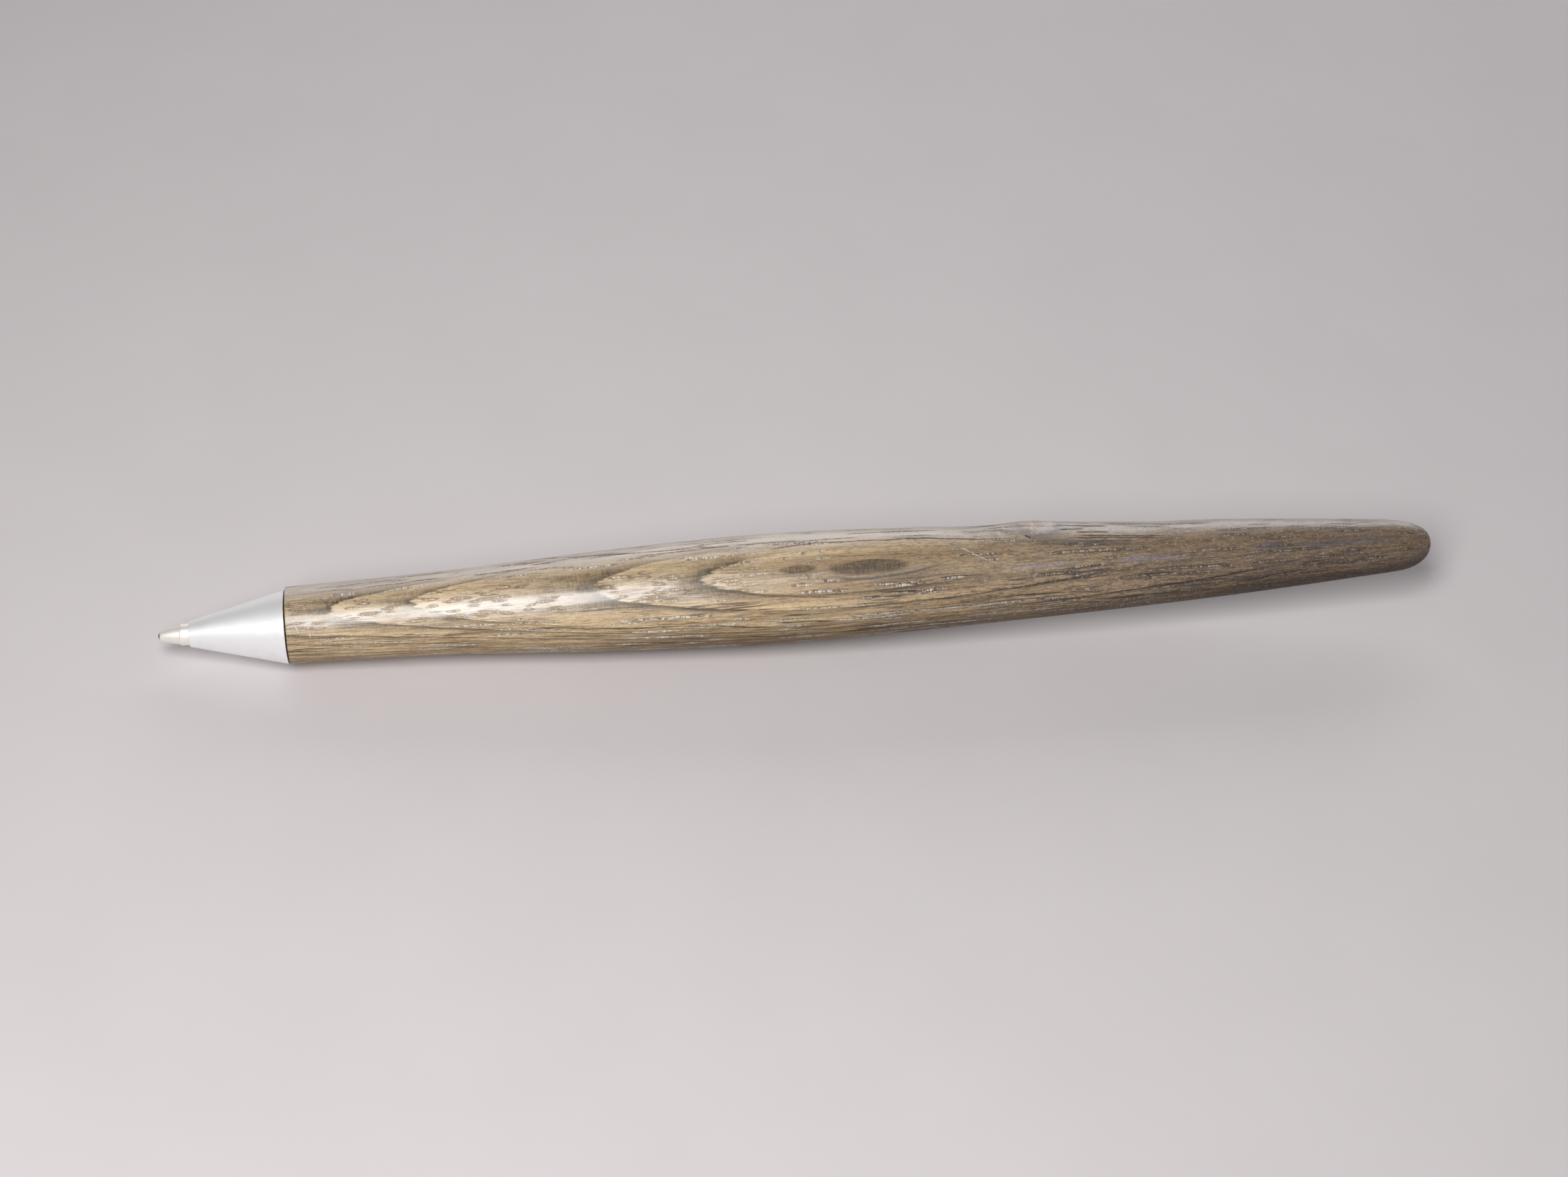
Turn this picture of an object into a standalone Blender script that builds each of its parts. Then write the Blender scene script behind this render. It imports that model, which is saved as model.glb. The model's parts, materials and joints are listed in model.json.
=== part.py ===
"""A carved wooden ballpoint pen that lies on a table.

Metres, +Z up. The pen points along X: the writing ball at -X, the tail at +X.
Every piece is modelled on the bore's own axis, with its zero where the wood meets the nose cone,
and an empty then lays that axis on the table, so that the pen rests on the flat under its belly.
"""

import math

import bmesh
import bpy
from mathutils import Matrix, Vector

# Barrel: the wood's length, and its radius at places measured back from the joint with the cone
BARREL_LENGTH = 0.1276
NECK_RADIUS = 0.00427
GRIP_AT = 0.018
GRIP_RADIUS = 0.00469
SWELL_AT = 0.035
SWELL_RADIUS = 0.00565
BELLY_AT = 0.053
BELLY_RADIUS = 0.00613
BACK_AT = 0.080
BACK_RADIUS = 0.00541
SHANK_AT = 0.102
SHANK_RADIUS = 0.00447
TAIL_RADIUS = 0.00297
TAIL_ROUND = 0.0040

# The wood is a little bent: how far its middle stands above the bore, and to the far side (+Y)
NECK_LIFT = 0.00005
GRIP_LIFT = 0.00042
SWELL_LIFT = 0.00046
BELLY_LIFT = 0.00078
BACK_LIFT = 0.00093
SHANK_LIFT = 0.00092
TAIL_LIFT = 0.00105
NECK_DRIFT = 0.00018
GRIP_DRIFT = -0.00005
SWELL_DRIFT = -0.00010
BELLY_DRIFT = -0.00036
BACK_DRIFT = -0.00067
SHANK_DRIFT = -0.00078
TAIL_DRIFT = -0.00096

# Edge of the wood at the joint, and the depth of the flat that the pen lies on
NECK_CHAMFER = 0.00015
FLAT_DEPTH = 0.00012

# Nose cone
CONE_LENGTH = 0.0106
CONE_FRONT_RADIUS = 0.00142
CONE_BACK_RADIUS = 0.00409
CONE_EDGE = 0.00008
CONE_MOUTH_LENGTH = 0.0025
JOINT_GAP = 0.00017

# Screw thread between the cone's spigot and the bush, right-handed
THREAD_RADIUS = 0.0026
THREAD_DEPTH = 0.00038
THREAD_PITCH = 0.00075
THREAD_TURNS = 8
THREAD_CREST = 0.00015
THREAD_CLEARANCE = 0.0001
THREAD_FLANK_ANGLE = math.radians(30)
THREAD_LEAD_IN = 0.0013
SPIGOT_END = 0.0007

# Bush that is glued into the wood
BUSH_WALL = 0.0005
BUSH_END = 0.0018
BUSH_GROOVES = 3
BUSH_GROOVE_DEPTH = 0.0002
BUSH_GROOVE_WIDTH = 0.0007
GLUE_GAP = 0.00005

# Seal ring on the spigot
SEAL_CORD_RADIUS = 0.00025
SEAL_CLEARANCE = 0.00005
SEAL_ROOM = 0.00008

# Refill: the ball, its socket, the tube and the ink
REFILL_LENGTH = 0.1068
BALL_RADIUS = 0.0005
BALL_CLEARANCE = 0.00005
BALL_LIP_RADIUS = 0.00047
LIP_WALL = 0.00009
TIP_REACH = 0.00342
TIP_STRAIGHT = 0.00078
TIP_RADIUS = 0.0012
TIP_SHOULDER = 0.00025
STEM_RADIUS = 0.0008
STEM_LENGTH = 0.0050
STEM_CHAMFER = 0.0002
INK_CHANNEL_RADIUS = 0.0003
TUBE_RADIUS = 0.0015
INK_LENGTH = 0.0700
REFILL_FIT = 0.00005
REFILL_CLEARANCE = 0.00015

# Back of the bore: plug, spring and seat
PLUG_STUB_LENGTH = 0.0030
PLUG_FLANGE = 0.0008
PLUG_GUIDE_RADIUS = 0.0010
PLUG_GUIDE_LENGTH = 0.0020
PLUG_VENT_RADIUS = 0.00025
SPRING_LENGTH = 0.0070
SPRING_RADIUS = 0.0015
SPRING_WIRE_RADIUS = 0.0002
SPRING_PITCH = 0.00092
SEAT_THICKNESS = 0.0010
BORE_RADIUS = 0.0020
DRILL_POINT_ANGLE = math.radians(59)
CONTACT_GAP = 0.00005

# How finely round pieces are divided
BARREL_SEGMENTS = 48
BARREL_RING_STEP = 0.0032
TAIL_RINGS = 6
TURNED_SEGMENTS = 32
REFILL_SEGMENTS = 24
BALL_RINGS = 10
SPRING_POINTS_PER_TURN = 10

# Places along the axis that follow from the sizes above
CONE_BACK = -JOINT_GAP
CONE_FRONT = CONE_BACK - CONE_LENGTH
SPIGOT_RADIUS = THREAD_RADIUS - THREAD_DEPTH
THREAD_LENGTH = THREAD_PITCH * THREAD_TURNS
SPIGOT_BACK = THREAD_LEAD_IN + THREAD_LENGTH + SPIGOT_END
REFILL_BORE_RADIUS = TUBE_RADIUS + REFILL_CLEARANCE
MOUTH_RADIUS = TIP_RADIUS + REFILL_FIT
MOUTH_BACK = CONE_FRONT + CONE_MOUTH_LENGTH

BUSH_FRONT = CONE_BACK + CONTACT_GAP
BUSH_BACK = SPIGOT_BACK + BUSH_END
TAP_RADIUS = THREAD_RADIUS + THREAD_CLEARANCE
BUSH_RADIUS = TAP_RADIUS + BUSH_WALL
SEAL_RING_RADIUS = SPIGOT_RADIUS + SEAL_CLEARANCE + SEAL_CORD_RADIUS
SEAL_AT = BUSH_FRONT + SEAL_ROOM + SEAL_CORD_RADIUS
SEAL_POCKET_RADIUS = SEAL_RING_RADIUS + SEAL_CORD_RADIUS + SEAL_CLEARANCE
SEAL_POCKET_BACK = SEAL_AT + SEAL_CORD_RADIUS + SEAL_ROOM

BALL_FRONT = CONE_FRONT - TIP_REACH
BALL_AT = BALL_FRONT + BALL_RADIUS
SOCKET_RADIUS = BALL_RADIUS + BALL_CLEARANCE
TUBE_FRONT = MOUTH_BACK + CONTACT_GAP
TUBE_BORE_RADIUS = STEM_RADIUS + REFILL_FIT
STEM_BACK = TUBE_FRONT + STEM_LENGTH
REFILL_BACK = BALL_FRONT + REFILL_LENGTH
TUBE_BACK = REFILL_BACK - PLUG_FLANGE - CONTACT_GAP
INK_FRONT = STEM_BACK + CONTACT_GAP
SPRING_FRONT = REFILL_BACK + CONTACT_GAP
SPRING_BACK = SPRING_FRONT + SPRING_LENGTH
SEAT_FRONT = SPRING_BACK + CONTACT_GAP
SEAT_BACK = SEAT_FRONT + SEAT_THICKNESS
BORE_BACK = SEAT_BACK + GLUE_GAP

# Sections of the wood from the joint to the start of the round tail: place, radius, lift, drift
SECTIONS = (
    (0.0, NECK_RADIUS, NECK_LIFT, NECK_DRIFT),
    (GRIP_AT, GRIP_RADIUS, GRIP_LIFT, GRIP_DRIFT),
    (SWELL_AT, SWELL_RADIUS, SWELL_LIFT, SWELL_DRIFT),
    (BELLY_AT, BELLY_RADIUS, BELLY_LIFT, BELLY_DRIFT),
    (BACK_AT, BACK_RADIUS, BACK_LIFT, BACK_DRIFT),
    (SHANK_AT, SHANK_RADIUS, SHANK_LIFT, SHANK_DRIFT),
    (BARREL_LENGTH - TAIL_ROUND, TAIL_RADIUS, TAIL_LIFT, TAIL_DRIFT),
)


def slope_at(index, column):
    """Slope of a section value at one station, from the parabola through its neighbours."""
    last = len(SECTIONS) - 1
    low = SECTIONS[max(index - 1, 0)]
    here = SECTIONS[index]
    high = SECTIONS[min(index + 1, last)]
    if index == 0:
        return (high[column] - here[column]) / (high[0] - here[0])
    if index == last:
        return (here[column] - low[column]) / (here[0] - low[0])
    before = (here[column] - low[column]) / (here[0] - low[0])
    after = (high[column] - here[column]) / (high[0] - here[0])
    share = (here[0] - low[0]) / (high[0] - low[0])
    return before + (after - before) * share


def section_value(at, column):
    """Smooth curve through the stations: radius, lift or drift of the wood at a place."""
    index = 0
    while index < len(SECTIONS) - 2 and at > SECTIONS[index + 1][0]:
        index += 1
    start, end = SECTIONS[index], SECTIONS[index + 1]
    span = end[0] - start[0]
    t = (at - start[0]) / span
    rise = end[column] - start[column]
    lean_start = slope_at(index, column) * span - rise
    lean_end = rise - slope_at(index + 1, column) * span
    bend = t * (1 - t) * (lean_start * (1 - t) + lean_end * t)
    return start[column] + rise * t + bend


def wood_section(at):
    """Radius, lift and drift of the wood at a place ahead of the round tail."""
    return tuple(section_value(at, column) for column in (1, 2, 3))


def barrel_places():
    """Places of the barrel's rings, evenly spread from the joint to the round tail."""
    length = BARREL_LENGTH - TAIL_ROUND
    count = math.ceil(length / BARREL_RING_STEP)
    return [length * i / count for i in range(count + 1)]


def resting_line():
    """Tilt of the axis and height of its zero when the pen lies on its neck and its belly."""
    def lowest(at):
        radius, lift, _ = wood_section(at)
        return lift - radius

    neck = lowest(0.0)
    steepest = min((lowest(at) - neck) / at for at in barrel_places()[1:])
    tilt = math.atan(-steepest)
    return tilt, -neck * math.cos(tilt) - FLAT_DEPTH


def finish(name, bm, color, roughness, metallic, parent, place=(0, 0, 0)):
    """Close a mesh, give it its material and hang it on the pen's axis."""
    bmesh.ops.recalc_face_normals(bm, faces=bm.faces)
    mesh = bpy.data.meshes.new(name)
    bm.to_mesh(mesh)
    bm.free()
    mesh.shade_smooth()
    mesh.set_sharp_from_angle(angle=math.radians(35))
    piece = bpy.data.objects.new(name, mesh)
    bpy.context.scene.collection.objects.link(piece)
    piece.parent = parent
    piece.location = place
    add_material(piece, color, roughness, metallic)
    return piece


def add_material(piece, color, roughness, metallic):
    """A plain Principled finish of the piece's own."""
    material = bpy.data.materials.new(piece.name)
    material.use_nodes = True
    shader = material.node_tree.nodes["Principled BSDF"]
    shader.inputs["Base Color"].default_value = (*color, 1.0)
    shader.inputs["Roughness"].default_value = roughness
    shader.inputs["Metallic"].default_value = metallic
    piece.data.materials.append(material)


def turned(outline, segments, closed=True):
    """Spin an outline of (place, radius) points round the axis."""
    bm = bmesh.new()
    verts = [bm.verts.new((at, 0.0, radius)) for at, radius in outline]
    edges = [bm.edges.new(pair) for pair in zip(verts, verts[1:])]
    if closed:
        edges.append(bm.edges.new((verts[-1], verts[0])))
    bmesh.ops.spin(
        bm,
        geom=verts + edges,
        cent=(0, 0, 0),
        axis=(1, 0, 0),
        angle=math.tau,
        steps=segments,
        use_merge=True,
    )
    bmesh.ops.remove_doubles(bm, verts=bm.verts, dist=1e-7)
    return bm


def ring(bm, at, radius, segments, lift=0.0, drift=0.0):
    """A ring of vertices round the axis, or round a point beside it."""
    angles = [math.tau * i / segments for i in range(segments)]
    return [
        bm.verts.new((at, drift + radius * math.cos(a), lift + radius * math.sin(a)))
        for a in angles
    ]


def skin(bm, first, second):
    """Faces between two rings."""
    count = len(first)
    for i in range(count):
        j = (i + 1) % count
        bm.faces.new((first[i], first[j], second[j], second[i]))


def fan(bm, hub, chain):
    """Triangles from one vertex to a chain of others."""
    for a, b in zip(chain, chain[1:]):
        bm.faces.new((hub, a, b))


def wind_thread(bm, base_radius, ridge, start, turns, first, last):
    """Wind a ridge round a cylinder, run it out at both ends and sew it to a plain ring each side."""
    count = len(first)
    steps = count * turns
    run_out = count // 2
    half_crest = THREAD_CREST / 2
    half_base = half_crest + THREAD_DEPTH * math.tan(THREAD_FLANK_ANGLE)
    profile = ((-half_base, 0), (-half_crest, 1), (half_crest, 1), (half_base, 0))
    rows = []
    for i in range(steps + 1):
        angle = math.tau * i / count
        height = ridge * min(1.0, i / run_out, (steps - i) / run_out)
        centre = start + THREAD_PITCH * i / count
        row = []
        for offset, share in profile:
            radius = base_radius + height * share
            place = (centre + offset, radius * math.cos(angle), radius * math.sin(angle))
            row.append(bm.verts.new(place))
        rows.append(row)
    for i in range(steps):
        for k in range(3):
            bm.faces.new((rows[i][k], rows[i + 1][k], rows[i + 1][k + 1], rows[i][k + 1]))
    for i in range(steps - count):
        above, beside = rows[i + count][0], rows[i + count + 1][0]
        bm.faces.new((rows[i][3], rows[i + 1][3], beside, above))
    for i in range(count - 1):
        bm.faces.new((first[i], first[i + 1], rows[i + 1][0], rows[i][0]))
        j = steps - count + i + 1
        bm.faces.new((rows[j][3], rows[j + 1][3], last[(i + 2) % count], last[i + 1]))
    fan(bm, first[-1], [first[0], *rows[0], rows[count - 1][0]])
    bm.faces.new((rows[count - 1][0], rows[0][3], rows[count][0]))
    before = rows[steps - count]
    beside = rows[steps - count + 1][3]
    fan(bm, last[1], [beside, *rows[steps], last[0]])
    bm.faces.new((before[3], beside, rows[steps][0]))


def make_barrel(axis):
    """The carved wood: rings through its sections, a round tail, a stepped bore and the flat."""
    bm = bmesh.new()
    radius, lift, drift = wood_section(0.0)
    rings = [ring(bm, 0.0, radius - NECK_CHAMFER, BARREL_SEGMENTS, lift, drift)]
    for at in [NECK_CHAMFER, *barrel_places()[1:]]:
        radius, lift, drift = wood_section(at)
        rings.append(ring(bm, at, radius, BARREL_SEGMENTS, lift, drift))
    for i in range(1, TAIL_RINGS):
        angle = math.pi / 2 * i / TAIL_RINGS
        at = BARREL_LENGTH - TAIL_ROUND * (1 - math.sin(angle))
        rings.append(ring(bm, at, TAIL_RADIUS * math.cos(angle), BARREL_SEGMENTS, lift, drift))
    for first, second in zip(rings, rings[1:]):
        skin(bm, first, second)
    bm.faces.new(rings[0])
    tail = bm.verts.new((BARREL_LENGTH, drift, lift))
    fan(bm, tail, [*rings[-1], rings[-1][0]])
    barrel = finish("barrel", bm, (0.20, 0.12, 0.045), 0.35, 0.0, axis)
    cut(barrel, bore_cutter(axis))
    cut(barrel, table_cutter())


def bore_cutter(axis):
    """The drilled hole: room for the bush, the long bore and the drill's point."""
    pocket_radius = BUSH_RADIUS + GLUE_GAP
    pocket_back = BUSH_BACK + GLUE_GAP
    point = BORE_BACK + BORE_RADIUS / math.tan(DRILL_POINT_ANGLE)
    outline = (
        (CONE_FRONT, 0.0),
        (CONE_FRONT, pocket_radius),
        (pocket_back, pocket_radius),
        (pocket_back, BORE_RADIUS),
        (BORE_BACK, BORE_RADIUS),
        (point, 0.0),
    )
    bm = turned(outline, TURNED_SEGMENTS, closed=False)
    return as_cutter(finish("bore_cutter", bm, (0.5, 0.5, 0.5), 0.5, 0.0, axis))


def table_cutter():
    """The table top, which planes the flat on the underside of the wood."""
    bm = bmesh.new()
    bmesh.ops.create_cube(bm, size=2 * BARREL_LENGTH)
    bmesh.ops.translate(bm, verts=bm.verts, vec=(0, 0, -BARREL_LENGTH))
    return as_cutter(finish("table_cutter", bm, (0.5, 0.5, 0.5), 0.5, 0.0, None))


def as_cutter(piece):
    piece.hide_render = True
    piece.display_type = "WIRE"
    return piece


def cut(piece, cutter):
    modifier = piece.modifiers.new(cutter.name, "BOOLEAN")
    modifier.operation = "DIFFERENCE"
    modifier.solver = "EXACT"
    modifier.object = cutter


def make_nose_cone(axis):
    """Turned cone with a threaded spigot behind it and the refill's seat inside it."""
    slope = (CONE_BACK_RADIUS - CONE_FRONT_RADIUS) / CONE_LENGTH
    front_outline = (
        (MOUTH_BACK, REFILL_BORE_RADIUS),
        (MOUTH_BACK, MOUTH_RADIUS),
        (CONE_FRONT, MOUTH_RADIUS),
        (CONE_FRONT, CONE_FRONT_RADIUS - CONE_EDGE),
        (CONE_FRONT + CONE_EDGE, CONE_FRONT_RADIUS + CONE_EDGE * slope),
        (CONE_BACK - CONE_EDGE, CONE_BACK_RADIUS - CONE_EDGE * slope),
        (CONE_BACK, CONE_BACK_RADIUS - CONE_EDGE),
        (CONE_BACK, SPIGOT_RADIUS),
        (THREAD_LEAD_IN - THREAD_PITCH / 2, SPIGOT_RADIUS),
    )
    back_outline = (
        (SPIGOT_BACK - SPIGOT_END / 2, SPIGOT_RADIUS),
        (SPIGOT_BACK, SPIGOT_RADIUS - SPIGOT_END / 4),
        (SPIGOT_BACK, REFILL_BORE_RADIUS),
    )
    bm = bmesh.new()
    front = [ring(bm, at, radius, TURNED_SEGMENTS) for at, radius in front_outline]
    back = [ring(bm, at, radius, TURNED_SEGMENTS) for at, radius in back_outline]
    for rings in (front, back, [back[-1], front[0]]):
        for first, second in zip(rings, rings[1:]):
            skin(bm, first, second)
    wind_thread(bm, SPIGOT_RADIUS, THREAD_DEPTH, THREAD_LEAD_IN, THREAD_TURNS, front[-1], back[0])
    finish("nose_cone", bm, (0.82, 0.82, 0.80), 0.30, 1.0, axis)


def make_bush(axis):
    """Glued bush: grooves outside for the glue, a pocket for the seal and the thread inside."""
    lead_in = THREAD_LEAD_IN - THREAD_PITCH / 2
    turns = THREAD_TURNS + 1
    inner_outline = (
        (BUSH_FRONT, SEAL_POCKET_RADIUS),
        (SEAL_POCKET_BACK, SEAL_POCKET_RADIUS),
        (SEAL_POCKET_BACK, TAP_RADIUS),
        (lead_in - THREAD_PITCH / 2, TAP_RADIUS),
    )
    outer_outline = [
        (lead_in + THREAD_PITCH * turns + THREAD_PITCH / 2, TAP_RADIUS),
        (BUSH_BACK, TAP_RADIUS),
        (BUSH_BACK, BUSH_RADIUS),
    ]
    for i in reversed(range(BUSH_GROOVES)):
        middle = BUSH_FRONT + (BUSH_BACK - BUSH_FRONT) * (i + 1) / (BUSH_GROOVES + 1)
        outer_outline += [
            (middle + BUSH_GROOVE_WIDTH / 2, BUSH_RADIUS),
            (middle, BUSH_RADIUS - BUSH_GROOVE_DEPTH),
            (middle - BUSH_GROOVE_WIDTH / 2, BUSH_RADIUS),
        ]
    outer_outline.append((BUSH_FRONT, BUSH_RADIUS))
    bm = bmesh.new()
    inner = [ring(bm, at, radius, TURNED_SEGMENTS) for at, radius in inner_outline]
    outer = [ring(bm, at, radius, TURNED_SEGMENTS) for at, radius in outer_outline]
    for rings in (inner, outer, [outer[-1], inner[0]]):
        for first, second in zip(rings, rings[1:]):
            skin(bm, first, second)
    wind_thread(bm, TAP_RADIUS, -THREAD_DEPTH, lead_in, turns, inner[-1], outer[0])
    finish("threaded_bush", bm, (0.72, 0.53, 0.24), 0.30, 1.0, axis)


def make_seal_ring(axis):
    """Rubber ring of round section."""
    corners = 10
    outline = []
    for i in range(corners):
        angle = math.tau * i / corners
        at = SEAL_AT + SEAL_CORD_RADIUS * math.cos(angle)
        outline.append((at, SEAL_RING_RADIUS + SEAL_CORD_RADIUS * math.sin(angle)))
    bm = turned(outline, TURNED_SEGMENTS)
    finish("seal_ring", bm, (0.015, 0.015, 0.015), 0.6, 0.0, axis)


def make_tip_socket(axis):
    """Point of the refill: ball seat and lip, cone, shoulder, and the stem that plugs the tube."""
    lip_at = BALL_AT - math.sqrt(SOCKET_RADIUS**2 - BALL_LIP_RADIUS**2)
    cone_back = CONE_FRONT - TIP_STRAIGHT
    seat_angle = math.asin(INK_CHANNEL_RADIUS / SOCKET_RADIUS)
    lip_angle = math.pi - math.asin(BALL_LIP_RADIUS / SOCKET_RADIUS)
    seat_steps = 6
    outline = [(STEM_BACK, INK_CHANNEL_RADIUS)]
    for i in range(seat_steps + 1):
        angle = seat_angle + (lip_angle - seat_angle) * i / seat_steps
        outline.append((BALL_AT + SOCKET_RADIUS * math.cos(angle), SOCKET_RADIUS * math.sin(angle)))
    outline += [
        (lip_at, BALL_LIP_RADIUS + LIP_WALL),
        (cone_back - TIP_SHOULDER, TIP_RADIUS - TIP_SHOULDER / 2),
        (cone_back, TIP_RADIUS),
        (TUBE_FRONT - CONTACT_GAP, TIP_RADIUS),
        (TUBE_FRONT - CONTACT_GAP, STEM_RADIUS),
        (STEM_BACK - STEM_CHAMFER, STEM_RADIUS),
        (STEM_BACK, STEM_RADIUS - STEM_CHAMFER),
    ]
    bm = turned(outline, REFILL_SEGMENTS)
    finish("tip_socket", bm, (0.62, 0.57, 0.50), 0.25, 1.0, axis)


def make_writing_ball(axis):
    """The ball, with its own centre as its origin."""
    bm = bmesh.new()
    bmesh.ops.create_uvsphere(
        bm,
        u_segments=2 * BALL_RINGS,
        v_segments=BALL_RINGS,
        radius=BALL_RADIUS,
        matrix=Matrix.Rotation(math.pi / 2, 4, "Y"),
    )
    finish("writing_ball", bm, (0.30, 0.31, 0.34), 0.12, 1.0, axis, (BALL_AT, 0, 0))


def make_ink_tube(axis):
    outline = (
        (TUBE_FRONT, TUBE_BORE_RADIUS),
        (TUBE_FRONT, TUBE_RADIUS),
        (TUBE_BACK, TUBE_RADIUS),
        (TUBE_BACK, TUBE_BORE_RADIUS),
    )
    bm = turned(outline, REFILL_SEGMENTS)
    finish("ink_tube", bm, (0.80, 0.80, 0.78), 0.35, 0.0, axis)


def make_ink_column(axis):
    radius = TUBE_BORE_RADIUS - REFILL_FIT
    back = INK_FRONT + INK_LENGTH
    outline = ((INK_FRONT, 0.0), (INK_FRONT, radius), (back, radius), (back, 0.0))
    bm = turned(outline, REFILL_SEGMENTS, closed=False)
    finish("ink_column", bm, (0.01, 0.015, 0.10), 0.2, 0.0, axis)


def make_tail_plug(axis):
    """Vented plug: a stub in the tube, a flange against it, and a guide inside the spring."""
    stub_radius = TUBE_BORE_RADIUS - REFILL_FIT
    stub_front = TUBE_BACK - PLUG_STUB_LENGTH
    flange_front = TUBE_BACK + CONTACT_GAP
    guide_back = REFILL_BACK + PLUG_GUIDE_LENGTH
    outline = (
        (stub_front, PLUG_VENT_RADIUS),
        (stub_front, stub_radius),
        (flange_front, stub_radius),
        (flange_front, TUBE_RADIUS),
        (REFILL_BACK, TUBE_RADIUS),
        (REFILL_BACK, PLUG_GUIDE_RADIUS),
        (guide_back, PLUG_GUIDE_RADIUS),
        (guide_back, PLUG_VENT_RADIUS),
    )
    bm = turned(outline, REFILL_SEGMENTS)
    finish("tail_plug", bm, (0.75, 0.10, 0.08), 0.45, 0.0, axis)


def spring_points():
    """Middle of the wire, from the plug's flange to the seat."""
    run = SPRING_LENGTH - 2 * SPRING_WIRE_RADIUS
    count = round(run / SPRING_PITCH * SPRING_POINTS_PER_TURN)
    points = []
    for i in range(count + 1):
        angle = math.tau * i / SPRING_POINTS_PER_TURN
        at = SPRING_FRONT + SPRING_WIRE_RADIUS + run * i / count
        points.append((at, SPRING_RADIUS * math.cos(angle), SPRING_RADIUS * math.sin(angle)))
    return points


def print_least_gap(points):
    """Clear space between neighbouring turns of the wire, measured on its points."""
    apart = SPRING_POINTS_PER_TURN // 2
    nearest = min(
        (Vector(a) - Vector(b)).length
        for i, a in enumerate(points)
        for b in points[i + apart:]
    )
    gap = nearest - 2 * SPRING_WIRE_RADIUS
    print(f"thrust_spring least gap to itself {gap * 1000:.3f} mm")


def make_thrust_spring(axis):
    """Open coil of round wire."""
    points = spring_points()
    print_least_gap(points)
    curve = bpy.data.curves.new("thrust_spring", "CURVE")
    curve.dimensions = "3D"
    curve.bevel_depth = SPRING_WIRE_RADIUS
    curve.bevel_resolution = 1
    curve.use_fill_caps = True
    wire = curve.splines.new("POLY")
    wire.points.add(len(points) - 1)
    for point, place in zip(wire.points, points):
        point.co = (*place, 1.0)
    piece = bpy.data.objects.new("thrust_spring", curve)
    bpy.context.scene.collection.objects.link(piece)
    piece.parent = axis
    add_material(piece, (0.60, 0.60, 0.60), 0.25, 1.0)


def make_spring_seat(axis):
    """Disc at the blind end of the bore."""
    radius = BORE_RADIUS - GLUE_GAP
    outline = ((SEAT_FRONT, 0.0), (SEAT_FRONT, radius), (SEAT_BACK, radius), (SEAT_BACK, 0.0))
    bm = turned(outline, REFILL_SEGMENTS, closed=False)
    finish("spring_seat", bm, (0.72, 0.53, 0.24), 0.35, 1.0, axis)


def lay_on_table():
    """Empty on the bore's axis: the pen on its flat, with its box centred over the origin."""
    tilt, height = resting_line()
    _, tail_lift, _ = wood_section(BARREL_LENGTH - TAIL_ROUND)
    tail_x = BARREL_LENGTH * math.cos(tilt) - tail_lift * math.sin(tilt)
    ball_x = BALL_AT * math.cos(tilt) - BALL_RADIUS
    sides = []
    for at in barrel_places():
        radius, _, drift = wood_section(at)
        sides += [drift - radius, drift + radius]
    axis = bpy.data.objects.new("pen_axis", None)
    bpy.context.scene.collection.objects.link(axis)
    axis.location = (-(tail_x + ball_x) / 2, -(min(sides) + max(sides)) / 2, height)
    axis.rotation_euler = (0.0, -tilt, 0.0)
    print("pen_axis at", tuple(axis.location), "tilt in degrees", math.degrees(tilt))
    return axis


def main():
    for leftover in list(bpy.data.objects):
        bpy.data.objects.remove(leftover)
    axis = lay_on_table()
    make_barrel(axis)
    make_bush(axis)
    make_nose_cone(axis)
    make_seal_ring(axis)
    make_tip_socket(axis)
    make_writing_ball(axis)
    make_ink_tube(axis)
    make_ink_column(axis)
    make_tail_plug(axis)
    make_thrust_spring(axis)
    make_spring_seat(axis)


main()
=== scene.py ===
# Wooden ballpoint pen: the carved wood, the turned cone, the refill's point and the spring are modelled
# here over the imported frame, and every surface gets its material.
import json
import math

import bpy
import numpy as np
from mathutils import Matrix, Vector


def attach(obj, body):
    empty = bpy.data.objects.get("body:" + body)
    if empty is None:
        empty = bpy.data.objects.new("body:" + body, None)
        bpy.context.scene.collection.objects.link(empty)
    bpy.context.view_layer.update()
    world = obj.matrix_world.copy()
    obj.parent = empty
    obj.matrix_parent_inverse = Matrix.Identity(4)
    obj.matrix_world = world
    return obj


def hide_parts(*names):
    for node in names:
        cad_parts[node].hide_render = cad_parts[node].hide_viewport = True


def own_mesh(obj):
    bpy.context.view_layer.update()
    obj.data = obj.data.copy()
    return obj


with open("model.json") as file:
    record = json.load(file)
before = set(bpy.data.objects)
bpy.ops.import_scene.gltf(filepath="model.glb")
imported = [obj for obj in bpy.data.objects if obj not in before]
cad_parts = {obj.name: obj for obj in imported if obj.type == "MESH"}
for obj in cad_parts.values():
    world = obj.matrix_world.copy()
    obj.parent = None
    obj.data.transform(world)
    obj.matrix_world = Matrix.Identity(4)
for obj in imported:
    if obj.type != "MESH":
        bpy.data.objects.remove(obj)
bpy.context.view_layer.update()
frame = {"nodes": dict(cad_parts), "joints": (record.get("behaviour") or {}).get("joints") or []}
NODES = frame["nodes"]
JOINTS = {joint["name"]: joint for joint in frame["joints"]}

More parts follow.
